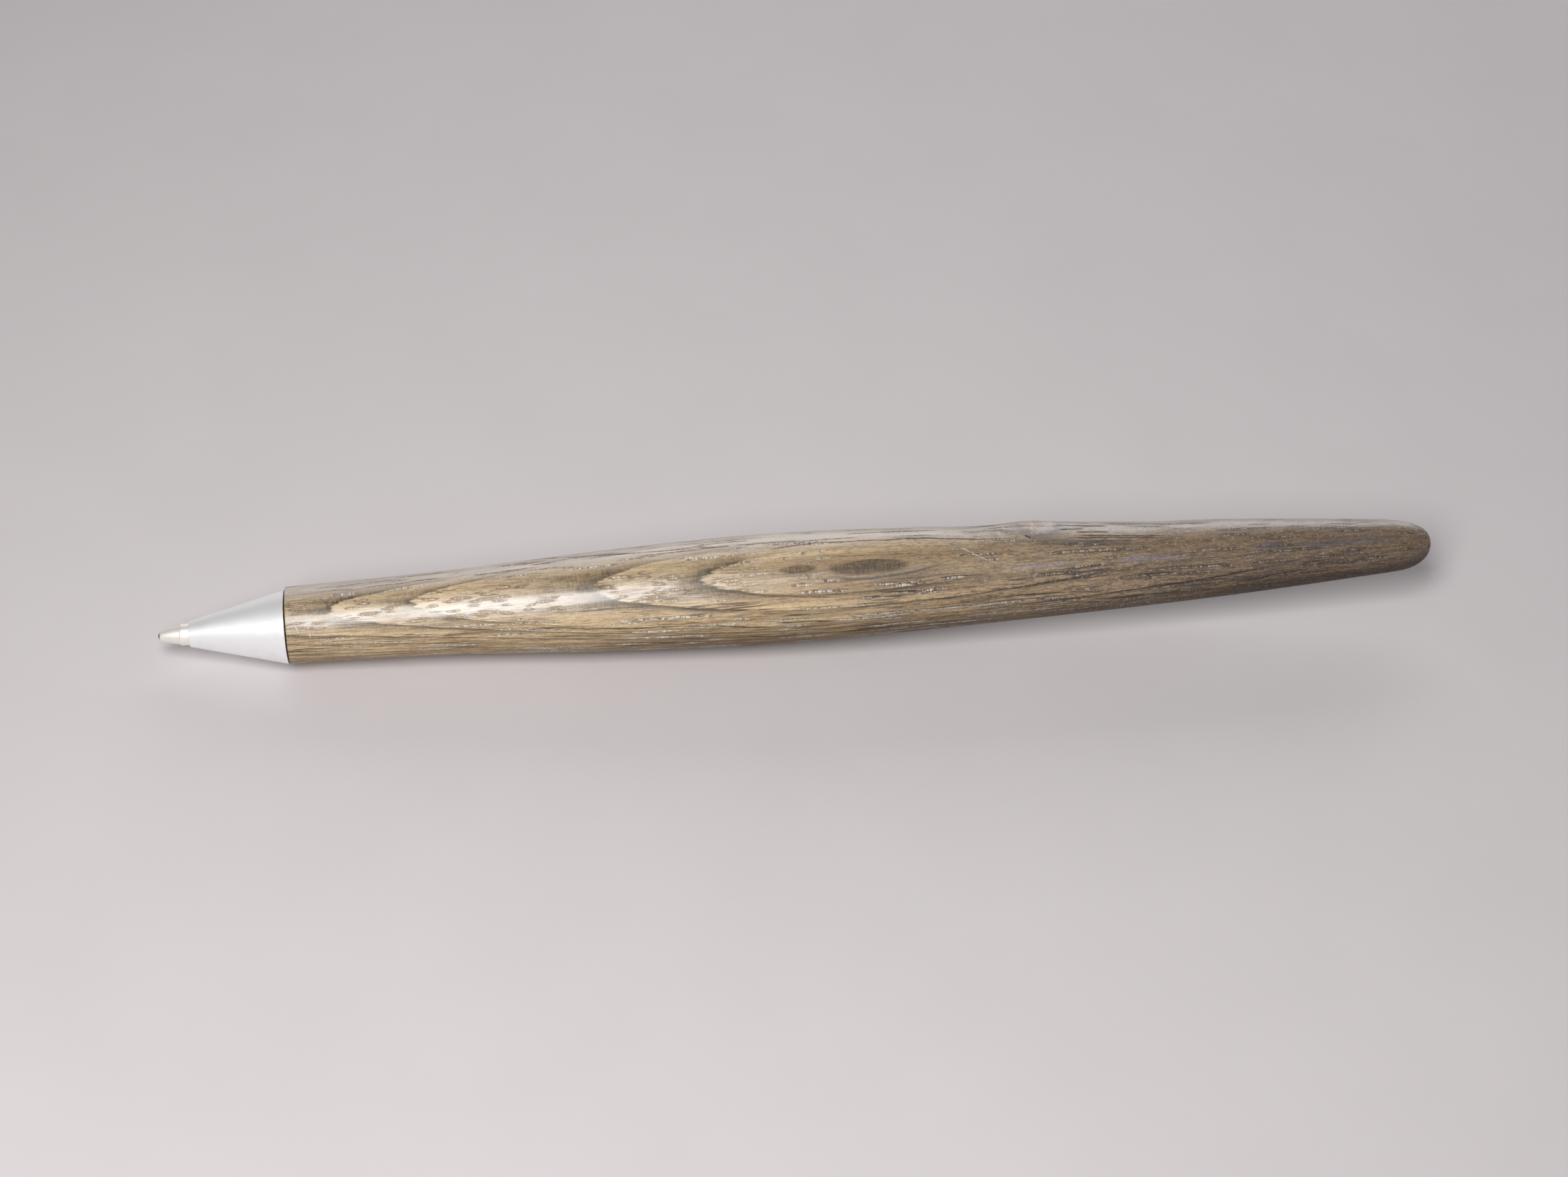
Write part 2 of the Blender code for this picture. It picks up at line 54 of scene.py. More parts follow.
# The pen's own axis: it starts where the cone meets the wood and climbs towards the tail.
AXIS_START = Vector(JOINTS["nose_unscrew"]["pos_m"])
AXIS = -Vector(JOINTS["nose_unscrew"]["axis"]).normalized()
TILT = math.atan2(AXIS.z, AXIS.x)
LAY_DOWN = Matrix.Translation(AXIS_START) @ Matrix.Rotation(-TILT, 4, "Y")

# Sizes along the axis, in metres. The tip is on the minus side.
WOOD_LENGTH = 0.1276
WOOD_ROUND = 0.0040
WOOD_CHAMFER = 0.00007
# place, radius, lift of the centre, drift of the centre
WOOD_SECTIONS = (
    (0.0, 0.00427, 0.00005, 0.00018),
    (0.018, 0.00469, 0.00042, -0.00005),
    (0.035, 0.00565, 0.00046, -0.00010),
    (0.053, 0.00613, 0.00078, -0.00036),
    (0.080, 0.00541, 0.00093, -0.00067),
    (0.102, 0.00447, 0.00092, -0.00078),
    (0.1236, 0.00297, 0.00105, -0.00096),
)
# The tail's rounding underneath and what it gains on top: its length, and how blunt it is
TAIL_REACH = (0.0041, 0.0040)
TAIL_BLUNT = (2.1, 0.5)
FACET_DEPTH = 0.000016
# Two hollows and the swelling over the knot: height, place and spread along the pen in millimetres,
# place and spread round it in degrees
KNIFE_WORK = (
    (-0.00017, 75.5, 3.0, 58, 42),
    (-0.00020, 95.5, 5.5, 58, 42),
    (0.00034, 82.6, 3.3, 60, 23),
)

POCKET_RADIUS = 0.00325
POCKET_BACK = 0.00985
BORE_RADIUS = 0.0020
BORE_BACK = 0.10076
DRILL_POINT = 0.10196

CONE_FRONT = -0.01077
CONE_BACK = -0.00017
CONE_FRONT_RADIUS = 0.00142
CONE_BACK_RADIUS = 0.00409
CONE_EDGE = 0.00004
MOUTH_RADIUS = 0.00125
MOUTH_LEAD = 0.0001
MOUTH_BACK = -0.00827
REFILL_BORE_RADIUS = 0.00165
SPIGOT_RADIUS = 0.00222
SPIGOT_FILLET = 0.00005
SPIGOT_LEAD = 0.00035
SPIGOT_BACK = 0.0080
THREAD_FRONT = 0.0013
THREAD_PITCH = 0.00075
THREAD_TURNS = 8
THREAD_RADIUS = 0.0026
THREAD_CREST = 0.00015
THREAD_FLANK = math.radians(30)
THREAD_SUNK = 0.00003

BALL_AT = -0.01369
BALL_SOCKET = 0.00055
INK_CHANNEL = 0.0003
SOCKET_MOUTH = 0.00047
POINT_LIP = -0.013976
POINT_LIP_RADIUS = 0.00056
POINT_LIP_EDGE = 0.00003
POINT_LIP_BREAK = 0.00002
POINT_SWELL = 0.00004
POINT_SHOULDER = -0.0118
POINT_SHOULDER_RADIUS = 0.001075
POINT_STRAIGHT = -0.01155
POINT_RADIUS = 0.0012
STEM_RADIUS = 0.0008
STEM_CHAMFER = 0.0002
STEM_BACK = -0.00322

SPRING_FRONT = 0.09266
SPRING_BACK = 0.09966
SPRING_RADIUS = 0.0015
SPRING_TURNS = 7.2
SPRING_END_TURNS = 0.85
SPRING_END_PITCH = 0.00041
WIRE_RADIUS = 0.0002

CRISP = 35


# Bench helpers


def switch(mode):
    bpy.ops.object.mode_set(mode=mode)


def clear_selection():
    if bpy.context.object and bpy.context.object.mode != "OBJECT":
        switch("OBJECT")
    bpy.ops.object.select_all(action="DESELECT")


def pick_up(piece):
    clear_selection()
    piece.select_set(True)
    bpy.context.view_layer.objects.active = piece


def open_up(piece, action):
    """Takes a piece into edit mode, with all of it selected or nothing."""
    pick_up(piece)
    switch("EDIT")
    bpy.ops.mesh.select_all(action=action)


def select_only(piece, kind, wanted):
    """Leaves the piece in edit mode with only those faces, edges or points selected that are wanted."""
    open_up(piece, "DESELECT")
    bpy.ops.mesh.select_mode(type=kind)
    switch("OBJECT")
    mesh = piece.data
    for item in {"FACE": mesh.polygons, "EDGE": mesh.edges, "VERT": mesh.vertices}[kind]:
        item.select = bool(wanted(item))
    switch("EDIT")


def read_points(piece):
    places = np.empty(len(piece.data.vertices) * 3)
    piece.data.vertices.foreach_get("co", places)
    return places.reshape(-1, 3)


def write_points(piece, places):
    piece.data.vertices.foreach_set("co", places.ravel())
    piece.data.update()


def close_up(piece, crisp=CRISP):
    """Merges doubles, turns the faces outwards and sets from which angle on edges stay crisp."""
    open_up(piece, "SELECT")
    bpy.ops.mesh.remove_doubles(threshold=1e-6)
    bpy.ops.mesh.normals_make_consistent(inside=False)
    switch("OBJECT")
    bpy.ops.object.shade_smooth_by_angle(angle=math.radians(crisp))


def cap_ends(piece):
    """Fills the open ends of a wound ridge or wire."""
    open_up(piece, "SELECT")
    bpy.ops.mesh.fill_holes(sides=0)
    close_up(piece)


def lay(piece):
    """Moves a piece made along its own axis to where the pen lies, in the mesh."""
    piece.data.transform(LAY_DOWN)
    piece.data.update()


def draw_outline(name, outline, upright):
    """Draws an outline of (place, radius) points by extruding one point, upright or lying flat."""

    def step(run, climb):
        return (run, 0, climb) if upright else (run, climb, 0)

    clear_selection()
    bpy.ops.mesh.primitive_plane_add(size=0.001, location=(0, 0, 0))
    piece = bpy.context.object
    piece.name = name
    switch("EDIT")
    bpy.ops.mesh.select_mode(type="VERT")
    bpy.ops.mesh.select_all(action="SELECT")
    bpy.ops.mesh.merge(type="CENTER")
    bpy.ops.transform.translate(value=step(*outline[0]))
    for start, end in zip(outline, outline[1:]):
        move = step(end[0] - start[0], end[1] - start[1])
        bpy.ops.mesh.extrude_vertices_move(TRANSFORM_OT_translate={"value": move})
    bpy.ops.mesh.select_all(action="SELECT")
    return piece


def turn_on_lathe(name, outline, segments):
    """Spins an outline round the axis."""
    piece = draw_outline(name, outline, True)
    bpy.ops.mesh.spin(steps=segments, angle=math.tau, center=(0, 0, 0), axis=(1, 0, 0))
    close_up(piece)
    return piece


def break_edges(piece, width, sharpness=25):
    """Rounds off every crisp edge a little, as turned work is."""
    open_up(piece, "DESELECT")
    bpy.ops.mesh.select_mode(type="EDGE")
    bpy.ops.mesh.edges_select_sharp(sharpness=math.radians(sharpness))
    bpy.ops.mesh.bevel(offset=width, segments=3, affect="EDGES", clamp_overlap=True)
    close_up(piece)


def wind(name, outline, turns, advance, steps):
    """Winds a closed outline of (place, radius) points into a helix round the axis."""
    piece = draw_outline(name, outline, False)
    bpy.ops.mesh.remove_doubles(threshold=1e-7)
    switch("OBJECT")
    screw = piece.modifiers.new("winding", "SCREW")
    screw.axis = "X"
    screw.angle = math.tau * turns
    screw.screw_offset = advance
    screw.steps = steps
    screw.render_steps = steps
    screw.iterations = 1
    screw.use_merge_vertices = False
    bpy.ops.object.modifier_apply(modifier=screw.name)
    return piece


# The carved wood


# How fast each of the sections' columns changes along the axis
SECTION_SLOPES = np.gradient(np.array(WOOD_SECTIONS), [section[0] for section in WOOD_SECTIONS], axis=0)


def section_value(at, column):
    """A column of the wood's sections at any place, on a smooth curve through them."""
    index = 0
    while index < len(WOOD_SECTIONS) - 2 and at > WOOD_SECTIONS[index + 1][0]:
        index += 1
    start = WOOD_SECTIONS[index]
    end = WOOD_SECTIONS[index + 1]
    span = end[0] - start[0]
    t = (at - start[0]) / span
    gain = end[column] - start[column]
    lean_start = SECTION_SLOPES[index][column] * span - gain
    lean_end = gain - SECTION_SLOPES[index + 1][column] * span
    return start[column] + gain * t + t * (1 - t) * (lean_start * (1 - t) + lean_end * t)


def hump(value, centre, width):
    return np.exp(-(((value - centre) / width) ** 2))


def snap_selected(piece, at, radius):
    """Sets the selected face's corners on a true circle round the axis, and stays in edit mode."""
    switch("OBJECT")
    for point in piece.data.vertices:
        if point.select:
            angle = math.atan2(point.co.z, point.co.y)
            point.co = (at, radius * math.cos(angle), radius * math.sin(angle))
    switch("EDIT")


def push_selected(run):
    bpy.ops.mesh.extrude_region_move(TRANSFORM_OT_translate={"value": (run, 0, 0)})


def carve_wood():
    around = 128
    cuts = 11
    rounds = (cuts + 1) ** 2
    tail_rings = 14
    first_ring = 0.0012
    rim = 0.0004
    clear_selection()
    bpy.ops.mesh.primitive_cylinder_add(
        vertices=around,
        radius=WOOD_SECTIONS[0][1],
        depth=WOOD_LENGTH,
        end_fill_type="NGON",
        location=(WOOD_LENGTH / 2, 0, 0),
        rotation=(0, math.pi / 2, 0),
    )
    wood = bpy.context.object
    wood.name = "carved_barrel"
    bpy.ops.object.transform_apply(location=True, rotation=True, scale=True)

    def runs_along(edge):
        start, end = (wood.data.vertices[index].co.x for index in edge.vertices)
        return abs(start - end) > 1e-5

    # Long edges are cut into rings in two goes.
    for _ in range(2):
        select_only(wood, "EDGE", runs_along)
        bpy.ops.mesh.subdivide(number_cuts=cuts)
    switch("OBJECT")

    # Each ring goes to its place: a small chamfer, the long swell, and the rounded tail.
    straight_end = WOOD_SECTIONS[-1][0]
    stations = [0.0, WOOD_CHAMFER]
    stations += list(np.linspace(first_ring, straight_end, rounds - 1 - tail_rings))
    widths = [section_value(at, 1) for at in stations]
    widths[0] -= WOOD_CHAMFER
    centres = [(section_value(at, 2), section_value(at, 3)) for at in stations]
    for ring in range(1, tail_rings + 1):
        angle = math.pi / 2 * ring / tail_rings
        stations.append(WOOD_LENGTH - WOOD_ROUND * (1 - math.sin(angle)))
        widths.append(WOOD_SECTIONS[-1][1])
        centres.append(WOOD_SECTIONS[-1][2:])
    places = read_points(wood)
    ring = np.rint(places[:, 0] / WOOD_LENGTH * rounds).astype(int)
    theta = np.arctan2(places[:, 2], places[:, 1])
    at = np.array(stations)[ring]
    radius = np.array(widths)[ring]
    lift, drift = np.array(centres)[ring].T

    # The tail rounds off sooner on top than underneath.
    upper = (1 + np.sin(theta)) / 2
    round_start = WOOD_LENGTH - TAIL_REACH[0] - TAIL_REACH[1] * upper
    blunt = TAIL_BLUNT[0] + TAIL_BLUNT[1] * upper
    gone = np.clip((at - round_start) / (WOOD_LENGTH - round_start), 0, 1)
    radius = radius * (1 - gone**blunt) ** (1 / blunt)

    # Knife work: shallow facets that fade at both ends, two hollows and the swelling over the knot.
    mm = at * 1000
    full = np.clip(mm / 6, 0, 1) * np.clip((126 - mm) / 10, 0, 1)
    facets = np.sin(3 * theta + mm / 11)
    facets = facets + 0.8 * np.sin(5 * theta - mm / 7 + 1.3)
    facets = facets + np.sin(mm / 5.3 + 2 * theta)
    radius = radius - FACET_DEPTH * full * (facets + 2.8) / 1.4
    for height, centre, spread, side, reach in KNIFE_WORK:
        across = hump(theta, math.radians(side), math.radians(reach))
        radius = radius + height * across * hump(mm, centre, spread)
    places[:, 0] = at
    places[:, 1] = drift + radius * np.cos(theta)
    places[:, 2] = lift + radius * np.sin(theta)
    write_points(wood, places)

    # The tail closes in one point.
    select_only(wood, "VERT", lambda point: point.co.x > WOOD_LENGTH - 1e-7)
    bpy.ops.mesh.merge(type="CENTER")

    # The front is bored: a wide pocket for the bush, a long hole for the refill, a drill point.
    select_only(wood, "FACE", lambda face: face.normal.x < -0.99 and face.center.x < 1e-6)
    for front, bore, back in ((0.0, POCKET_RADIUS, POCKET_BACK), (POCKET_BACK, BORE_RADIUS, BORE_BACK)):
        bpy.ops.mesh.inset(thickness=rim, use_boundary=True, use_even_offset=True)
        snap_selected(wood, front, bore)
        push_selected(back - front)
    push_selected(DRILL_POINT - BORE_BACK)
    bpy.ops.mesh.merge(type="CENTER")
    close_up(wood, crisp=40)
    lay(wood)

    # The underside is planed flat where it rests.
    places = read_points(wood)
    places[:, 2] = np.maximum(places[:, 2], 0.0)
    write_points(wood, places)
    return wood


# The turned cone with its threaded spigot


def turn_cone():
    slope = (CONE_BACK_RADIUS - CONE_FRONT_RADIUS) / (CONE_BACK - CONE_FRONT)
    outline = (
        (MOUTH_BACK, REFILL_BORE_RADIUS),
        (MOUTH_BACK, MOUTH_RADIUS),
        (CONE_FRONT + MOUTH_LEAD, MOUTH_RADIUS),
        (CONE_FRONT, MOUTH_RADIUS + CONE_EDGE),
        (CONE_FRONT, CONE_FRONT_RADIUS - CONE_EDGE),
        (CONE_FRONT + CONE_EDGE, CONE_FRONT_RADIUS + CONE_EDGE * slope),
        (CONE_BACK - CONE_EDGE, CONE_BACK_RADIUS - CONE_EDGE * slope),
        (CONE_BACK, CONE_BACK_RADIUS - CONE_EDGE),
        (CONE_BACK, SPIGOT_RADIUS + SPIGOT_FILLET),
        (CONE_BACK + SPIGOT_FILLET, SPIGOT_RADIUS),
        (SPIGOT_BACK - SPIGOT_LEAD, SPIGOT_RADIUS),
        (SPIGOT_BACK, SPIGOT_RADIUS - SPIGOT_LEAD / 2),
        (SPIGOT_BACK, REFILL_BORE_RADIUS),
        (MOUTH_BACK, REFILL_BORE_RADIUS),
    )
    cone = turn_on_lathe("turned_cone", outline, segments=144)
    break_edges(cone, width=0.000015)

    # The thread: one ridge, wound round the spigot.
    depth = THREAD_RADIUS - SPIGOT_RADIUS
    foot = THREAD_CREST / 2 + math.tan(THREAD_FLANK) * depth
    ridge = (
        (THREAD_FRONT - foot, SPIGOT_RADIUS - THREAD_SUNK),
        (THREAD_FRONT - foot, SPIGOT_RADIUS),
        (THREAD_FRONT - THREAD_CREST / 2, THREAD_RADIUS),
        (THREAD_FRONT + THREAD_CREST / 2, THREAD_RADIUS),
        (THREAD_FRONT + foot, SPIGOT_RADIUS),
        (THREAD_FRONT + foot, SPIGOT_RADIUS - THREAD_SUNK),
        (THREAD_FRONT - foot, SPIGOT_RADIUS - THREAD_SUNK),
    )
    per_turn = 48
    steps = per_turn * THREAD_TURNS
    thread = wind("thread_ridge", ridge, THREAD_TURNS, THREAD_PITCH * THREAD_TURNS, steps)

    # The ridge runs out over half a turn at each end, flush with the spigot.
    places = read_points(thread)
    step = np.arange(len(places)) // (len(ridge) - 1)
    share = np.minimum(1.0, np.minimum(step, steps - step) / (per_turn / 2))
    radius = np.hypot(places[:, 1], places[:, 2])
    proud = np.maximum(radius - SPIGOT_RADIUS, 0)
    scale = (radius - proud * (1 - share)) / radius
    places[:, 1] *= scale
    places[:, 2] *= scale
    write_points(thread, places)
    cap_ends(thread)

    pick_up(cone)
    thread.select_set(True)
    bpy.ops.object.join()
    bpy.ops.object.shade_smooth_by_angle(angle=math.radians(CRISP))
    lay(cone)
    return cone


# The bright point of the refill


def turn_point():
    socket_steps, taper_steps, shoulder_steps = 12, 10, 8
    seat_angle = math.asin(INK_CHANNEL / BALL_SOCKET)
    lip_angle = math.pi - math.asin(SOCKET_MOUTH / BALL_SOCKET)
    outline = [(STEM_BACK, INK_CHANNEL)]
    for step in range(socket_steps + 1):
        angle = seat_angle + (lip_angle - seat_angle) * step / socket_steps
        outline.append((BALL_AT + BALL_SOCKET * math.cos(angle), BALL_SOCKET * math.sin(angle)))
    outline.append((POINT_LIP, POINT_LIP_RADIUS - POINT_LIP_BREAK))
    outline.append((POINT_LIP + POINT_LIP_EDGE, POINT_LIP_RADIUS))

    # The taper swells a little between the lip and the shoulder.
    for step in range(1, taper_steps + 1):
        share = step / taper_steps
        at = POINT_LIP + POINT_LIP_EDGE + (POINT_SHOULDER - POINT_LIP - POINT_LIP_EDGE) * share
        straight = POINT_LIP_RADIUS + (POINT_SHOULDER_RADIUS - POINT_LIP_RADIUS) * share
        outline.append((at, straight + POINT_SWELL * math.sin(math.pi * share)))

    # A rounded shoulder leads into the straight part.
    for step in range(1, shoulder_steps + 1):
        angle = math.pi / 2 * step / shoulder_steps
        at = POINT_SHOULDER + (POINT_STRAIGHT - POINT_SHOULDER) * (1 - math.cos(angle))
        gain = (POINT_RADIUS - POINT_SHOULDER_RADIUS) * math.sin(angle)
        outline.append((at, POINT_SHOULDER_RADIUS + gain))
    outline += [
        (MOUTH_BACK, POINT_RADIUS),
        (MOUTH_BACK, STEM_RADIUS),
        (STEM_BACK - STEM_CHAMFER, STEM_RADIUS),
        (STEM_BACK, STEM_RADIUS - STEM_CHAMFER),
        (STEM_BACK, INK_CHANNEL),
    ]
    point = turn_on_lathe("refill_point", outline, segments=96)
    lay(point)
    return point


# The coil spring behind the refill


def coil_spring():
    corners = 14
    per_turn = 40
    run = SPRING_BACK - SPRING_FRONT - 2 * WIRE_RADIUS
    start = SPRING_FRONT + WIRE_RADIUS
    wire = []
    for corner in range(corners + 1):
        angle = math.tau * corner / corners
        wire.append((start + WIRE_RADIUS * math.cos(angle), SPRING_RADIUS + WIRE_RADIUS * math.sin(angle)))
    spring = wind("coil_spring", wire, SPRING_TURNS, run, round(per_turn * SPRING_TURNS))

    # The end turns lie close, as on a cut and set spring, and the turns between them share the rest.
    end_run = SPRING_END_TURNS * SPRING_END_PITCH
    places = read_points(spring)
    turn = (np.arange(len(places)) // corners) / per_turn
    wanted = np.interp(
        turn,
        (0, SPRING_END_TURNS, SPRING_TURNS - SPRING_END_TURNS, SPRING_TURNS),
        (0, end_run, run - end_run, run),
    )
    places[:, 0] += wanted - run * turn / SPRING_TURNS
    write_points(spring, places)
    cap_ends(spring)
    lay(spring)
    return spring


# Node helpers


def shade(red, green, blue):
    """A colour written from 0 to 255, as a paint chart gives it."""
    values = []
    for value in (red, green, blue):
        value = value / 255
        values.append(value / 12.92 if value <= 0.04045 else ((value + 0.055) / 1.055) ** 2.4)
    return (*values, 1.0)


def node(tree, kind, **settings):
    made = tree.nodes.new(kind)
    for name, value in settings.items():
        setattr(made, name, value)
    return made


def tree_of(*values):
    """The node tree that the sockets among some values belong to."""
    return next(value.id_data for value in values if isinstance(value, bpy.types.NodeSocket))


def feed(socket, value):
    if isinstance(value, bpy.types.NodeSocket):
        socket.id_data.links.new(value, socket)
    else:
        socket.default_value = value


def fill(made, *values):
    """Feeds a node's inputs in their order."""
    for socket, value in zip(made.inputs, values):
        feed(socket, value)
    return made.outputs


def preset(made, **values):
    """Sets plain values on a node's own sockets, with _ for each space in their names."""
    for name, value in values.items():
        made.inputs[name.replace("_", " ")].default_value = value


def calc(operation, *values):
    return fill(node(tree_of(*values), "ShaderNodeMath", operation=operation), *values)[0]


def fold(operation, values):
    total = values[0]
    for value in values[1:]:
        total = calc(operation, total, value)
    return total


def add_up(*values):
    return fold("ADD", values)


def times(*values):
    return fold("MULTIPLY", values)


def most(*values):
    return fold("MAXIMUM", values)


def weigh(*parts):
    """A sum of (value, weight) parts."""
    return add_up(*[times(value, weight) for value, weight in parts])


def less(first, second):
    return calc("SUBTRACT", first, second)


def without(share):
    return less(1.0, share)


def apart(value, centre):
    """How far a value is from a centre, either way."""
    return calc("ABSOLUTE", less(value, centre))


def vector(operation, first, second, output="Vector"):
    return fill(node(tree_of(first), "ShaderNodeVectorMath", operation=operation), first, second)[output]


def stretch(place, sizes):
    return vector("MULTIPLY", place, sizes)


def measure(place, direction):
    return vector("DOT_PRODUCT", place, direction, "Value")


def split(place):
    return fill(node(tree_of(place), "ShaderNodeSeparateXYZ"), place)


def join(*values):
    return fill(node(tree_of(*values), "ShaderNodeCombineXYZ"), *values)[0]


def blend(share, first, second, way="MIX"):
    made = node(tree_of(share), "ShaderNodeMix", data_type="RGBA", blend_type=way)
    feed(made.inputs[0], share)
    feed(made.inputs[6], first)
    feed(made.inputs[7], second)
    return made.outputs[2]


def rise(value, low, high, bottom=0.0, top=1.0):
    """A smooth step from bottom to top while the value goes from low to high."""
    made = node(tree_of(value), "ShaderNodeMapRange", interpolation_type="SMOOTHSTEP")
    return fill(made, value, low, high, bottom, top)[0]


def ease(share, first, last):
    """From first to last while a share goes from 0 to 1."""
    return rise(share, 0.0, 1.0, first, last)


def where(*steps):
    """Where several steps, each given as for rise, are up at once."""
    return times(*[rise(*step) for step in steps])


def between(value, start, full, fade, end):
    """Rises from start to full, stays, and sinks again from fade to end."""
    return where((value, start, full), (value, end, fade))


def distance(first, second):
    return calc("SQRT", add_up(calc("POWER", first, 2.0), calc("POWER", second, 2.0)))


def cloud(place, sizes, detail=2.0, roughness=0.5):
    made = node(tree_of(place), "ShaderNodeTexNoise")
    feed(made.inputs["Vector"], stretch(place, sizes))
    preset(made, Scale=1.0, Detail=detail, Roughness=roughness)
    return made.outputs["Fac"]


def swing(place, sizes, detail=2.0, roughness=0.5):
    """A cloud that swings about nought."""
    return less(cloud(place, sizes, detail, roughness), 0.5)


def strew(dimensions, socket, place, randomness):
    """Seeds strewn along a line or over a sheet, and the lots that each of them draws."""
    made = node(tree_of(place), "ShaderNodeTexVoronoi", voronoi_dimensions=dimensions)
    feed(made.inputs[socket], place)
    preset(made, Scale=1.0, Randomness=randomness)
    return made.outputs, fill(node(tree_of(place), "ShaderNodeSeparateColor"), made.outputs["Color"])


def seeds(skin, length, width):
    """Seeds over the unrolled surface: how far along and aside each spot is from its own, and two lots."""
    sized = stretch(skin, (1 / length, 1 / width, 0.0))
    strewn, lots = strew("2D", "Vector", sized, 1.0)
    offset = vector("SUBTRACT", sized, strewn["Position"])
    ahead, aside = split(stretch(offset, (length, width, 0.0)))[:2]
    return ahead, calc("ABSOLUTE", aside), lots[0], lots[1]


def string_of_beads(along, aside, pitch, lot):
    """Small beads in single file along a row, unequal and some of them missing: the shape of painted
    glints.
    """
    row = add_up(times(along, 1 / pitch), times(lot, 50.0))
    strewn, lots = strew("1D", "W", row, 0.9)
    far = distance(times(strewn["Distance"], 0.8 * pitch), times(aside, 1.25))
    edge = calc("DIVIDE", far, ease(lots[1], 0.10, 0.20))
    return where((edge, 1.0, 0.3), (lots[0], 0.10, 0.80))


def stroke(along, around, start, end, width):
    """A straight mark on the wood between two (along, around) spots, in millimetres."""
    run = (end[0] - start[0], end[1] - start[1])
    length = math.hypot(*run)
    step = (run[0] / length, run[1] / length)
    from_x = less(along, start[0])
    from_t = less(around, start[1])
    forward = weigh((from_x, step[0]), (from_t, step[1]))
    aside = weigh((from_x, -step[1]), (from_t, step[0]))
    thin = rise(calc("ABSOLUTE", aside), width, width * 0.35)
    return times(thin, rise(apart(forward, length / 2), length / 2, length * 0.3))


def strokes(along, around, table):
    """The marks of a whole table, the strongest where they cross, one by one to keep the shader small."""
    found = stroke(along, around, *table[0])
    for start, end, width in table[1:]:
        found = most(found, stroke(along, around, start, end, width))
    return found


def pen_place(tree):
    """Where a spot lies on the pen, in millimetres: along it, across it and up."""
    spot = node(tree, "ShaderNodeTexCoord")
    mapping = node(tree, "ShaderNodeMapping", vector_type="TEXTURE")
    preset(mapping, Location=AXIS_START, Rotation=(0, -TILT, 0), Scale=(0.001, 0.001, 0.001))
    return fill(mapping, spot.outputs["Object"])["Vector"]


def start_material(name):
    material = bpy.data.materials.new(name)
    material.use_nodes = True
    tree = material.node_tree
    return material, tree, tree.nodes["Principled BSDF"]


def start_group(name, outputs, sizes=()):
    """A group that takes a place and named sizes."""
    group = bpy.data.node_groups.new(name, "ShaderNodeTree")
    group.interface.new_socket("Place", in_out="INPUT", socket_type="NodeSocketVector")
    for label in sizes:
        group.interface.new_socket(label, in_out="INPUT", socket_type="NodeSocketFloat")
    for label in outputs:
        group.interface.new_socket(label, in_out="OUTPUT", socket_type="NodeSocketFloat")
    entry = group.nodes.new("NodeGroupInput")
    leave = group.nodes.new("NodeGroupOutput")
    return group, entry.outputs, leave.inputs


def use_group(group, *values):
    return fill(node(tree_of(*values), "ShaderNodeGroup", node_tree=group), *values)


def raise_surface(surface, height, strength, depth):
    bump = node(tree_of(height), "ShaderNodeBump")
    preset(bump, Strength=strength, Distance=depth)
    feed(bump.inputs["Height"], height)
    feed(surface.inputs["Normal"], bump.outputs["Normal"])


def mix_surfaces(share, first, second, end):
    tree = tree_of(share)
    meet = fill(node(tree, "ShaderNodeMixShader"), share, first.outputs[0], second.outputs[0])
    feed(tree.nodes[end].inputs["Surface"], meet[0])


def dress(piece, material):
    piece.data.materials.clear()
    piece.data.materials.append(material)


# Effects that several materials share


def make_handling():
    """Marks of use: broad smudges and fine hairline scratches."""
    group, given, out = start_group("handling_marks", ("Smudge", "Scratch"), ("Smudge size",))
    scaled = node(group, "ShaderNodeVectorMath", operation="SCALE")
    feed(scaled.inputs[0], given[0])
    feed(scaled.inputs["Scale"], given[1])
    smudge = cloud(scaled.outputs[0], (1.0, 1.0, 1.0), 4.0, 0.6)
    feed(out[0], rise(smudge, 0.34, 0.68))
    hairs = []
    for angle, sizes in ((0.35, (0.30, 5.0, 5.0)), (-0.9, (0.35, 6.5, 6.5))):
        turned = node(group, "ShaderNodeMapping")
        preset(turned, Rotation=(0.4, angle, angle))
        feed(turned.inputs["Vector"], given[0])
        near = calc("ABSOLUTE", swing(turned.outputs[0], sizes, 1.0))
        hairs.append(rise(near, 0.010, 0.0))
    feed(out[1], most(*hairs))
    return group


def make_lathe():
    """Fine rings that the turning tool leaves round the axis."""
    group, given, out = start_group("lathe_rings", ("Rings",))
    along = split(given[0])[0]
    rings = []
    for pitch, weight in ((9.0, 0.6), (31.0, 0.4)):
        noise = node(group, "ShaderNodeTexNoise", noise_dimensions="1D")
        feed(noise.inputs["W"], times(along, pitch))
        preset(noise, Scale=1.0, Detail=2.0)
        rings.append((noise.outputs["Fac"], weight))
    feed(out[0], weigh(*rings))
    return group


def make_moulding():
    """Fine stipple and slow tone of a moulded surface."""
    group, given, out = start_group("moulded_skin", ("Stipple", "Tone"))
    feed(out[0], cloud(given[0], (9.0, 9.0, 9.0), 3.0))
    feed(out[1], rise(cloud(given[0], (0.5, 0.8, 0.8), 3.0), 0.3, 0.7))
    return group


HANDLING = make_handling()
LATHE = make_lathe()
MOULDING = make_moulding()


# Metals and moulded materials


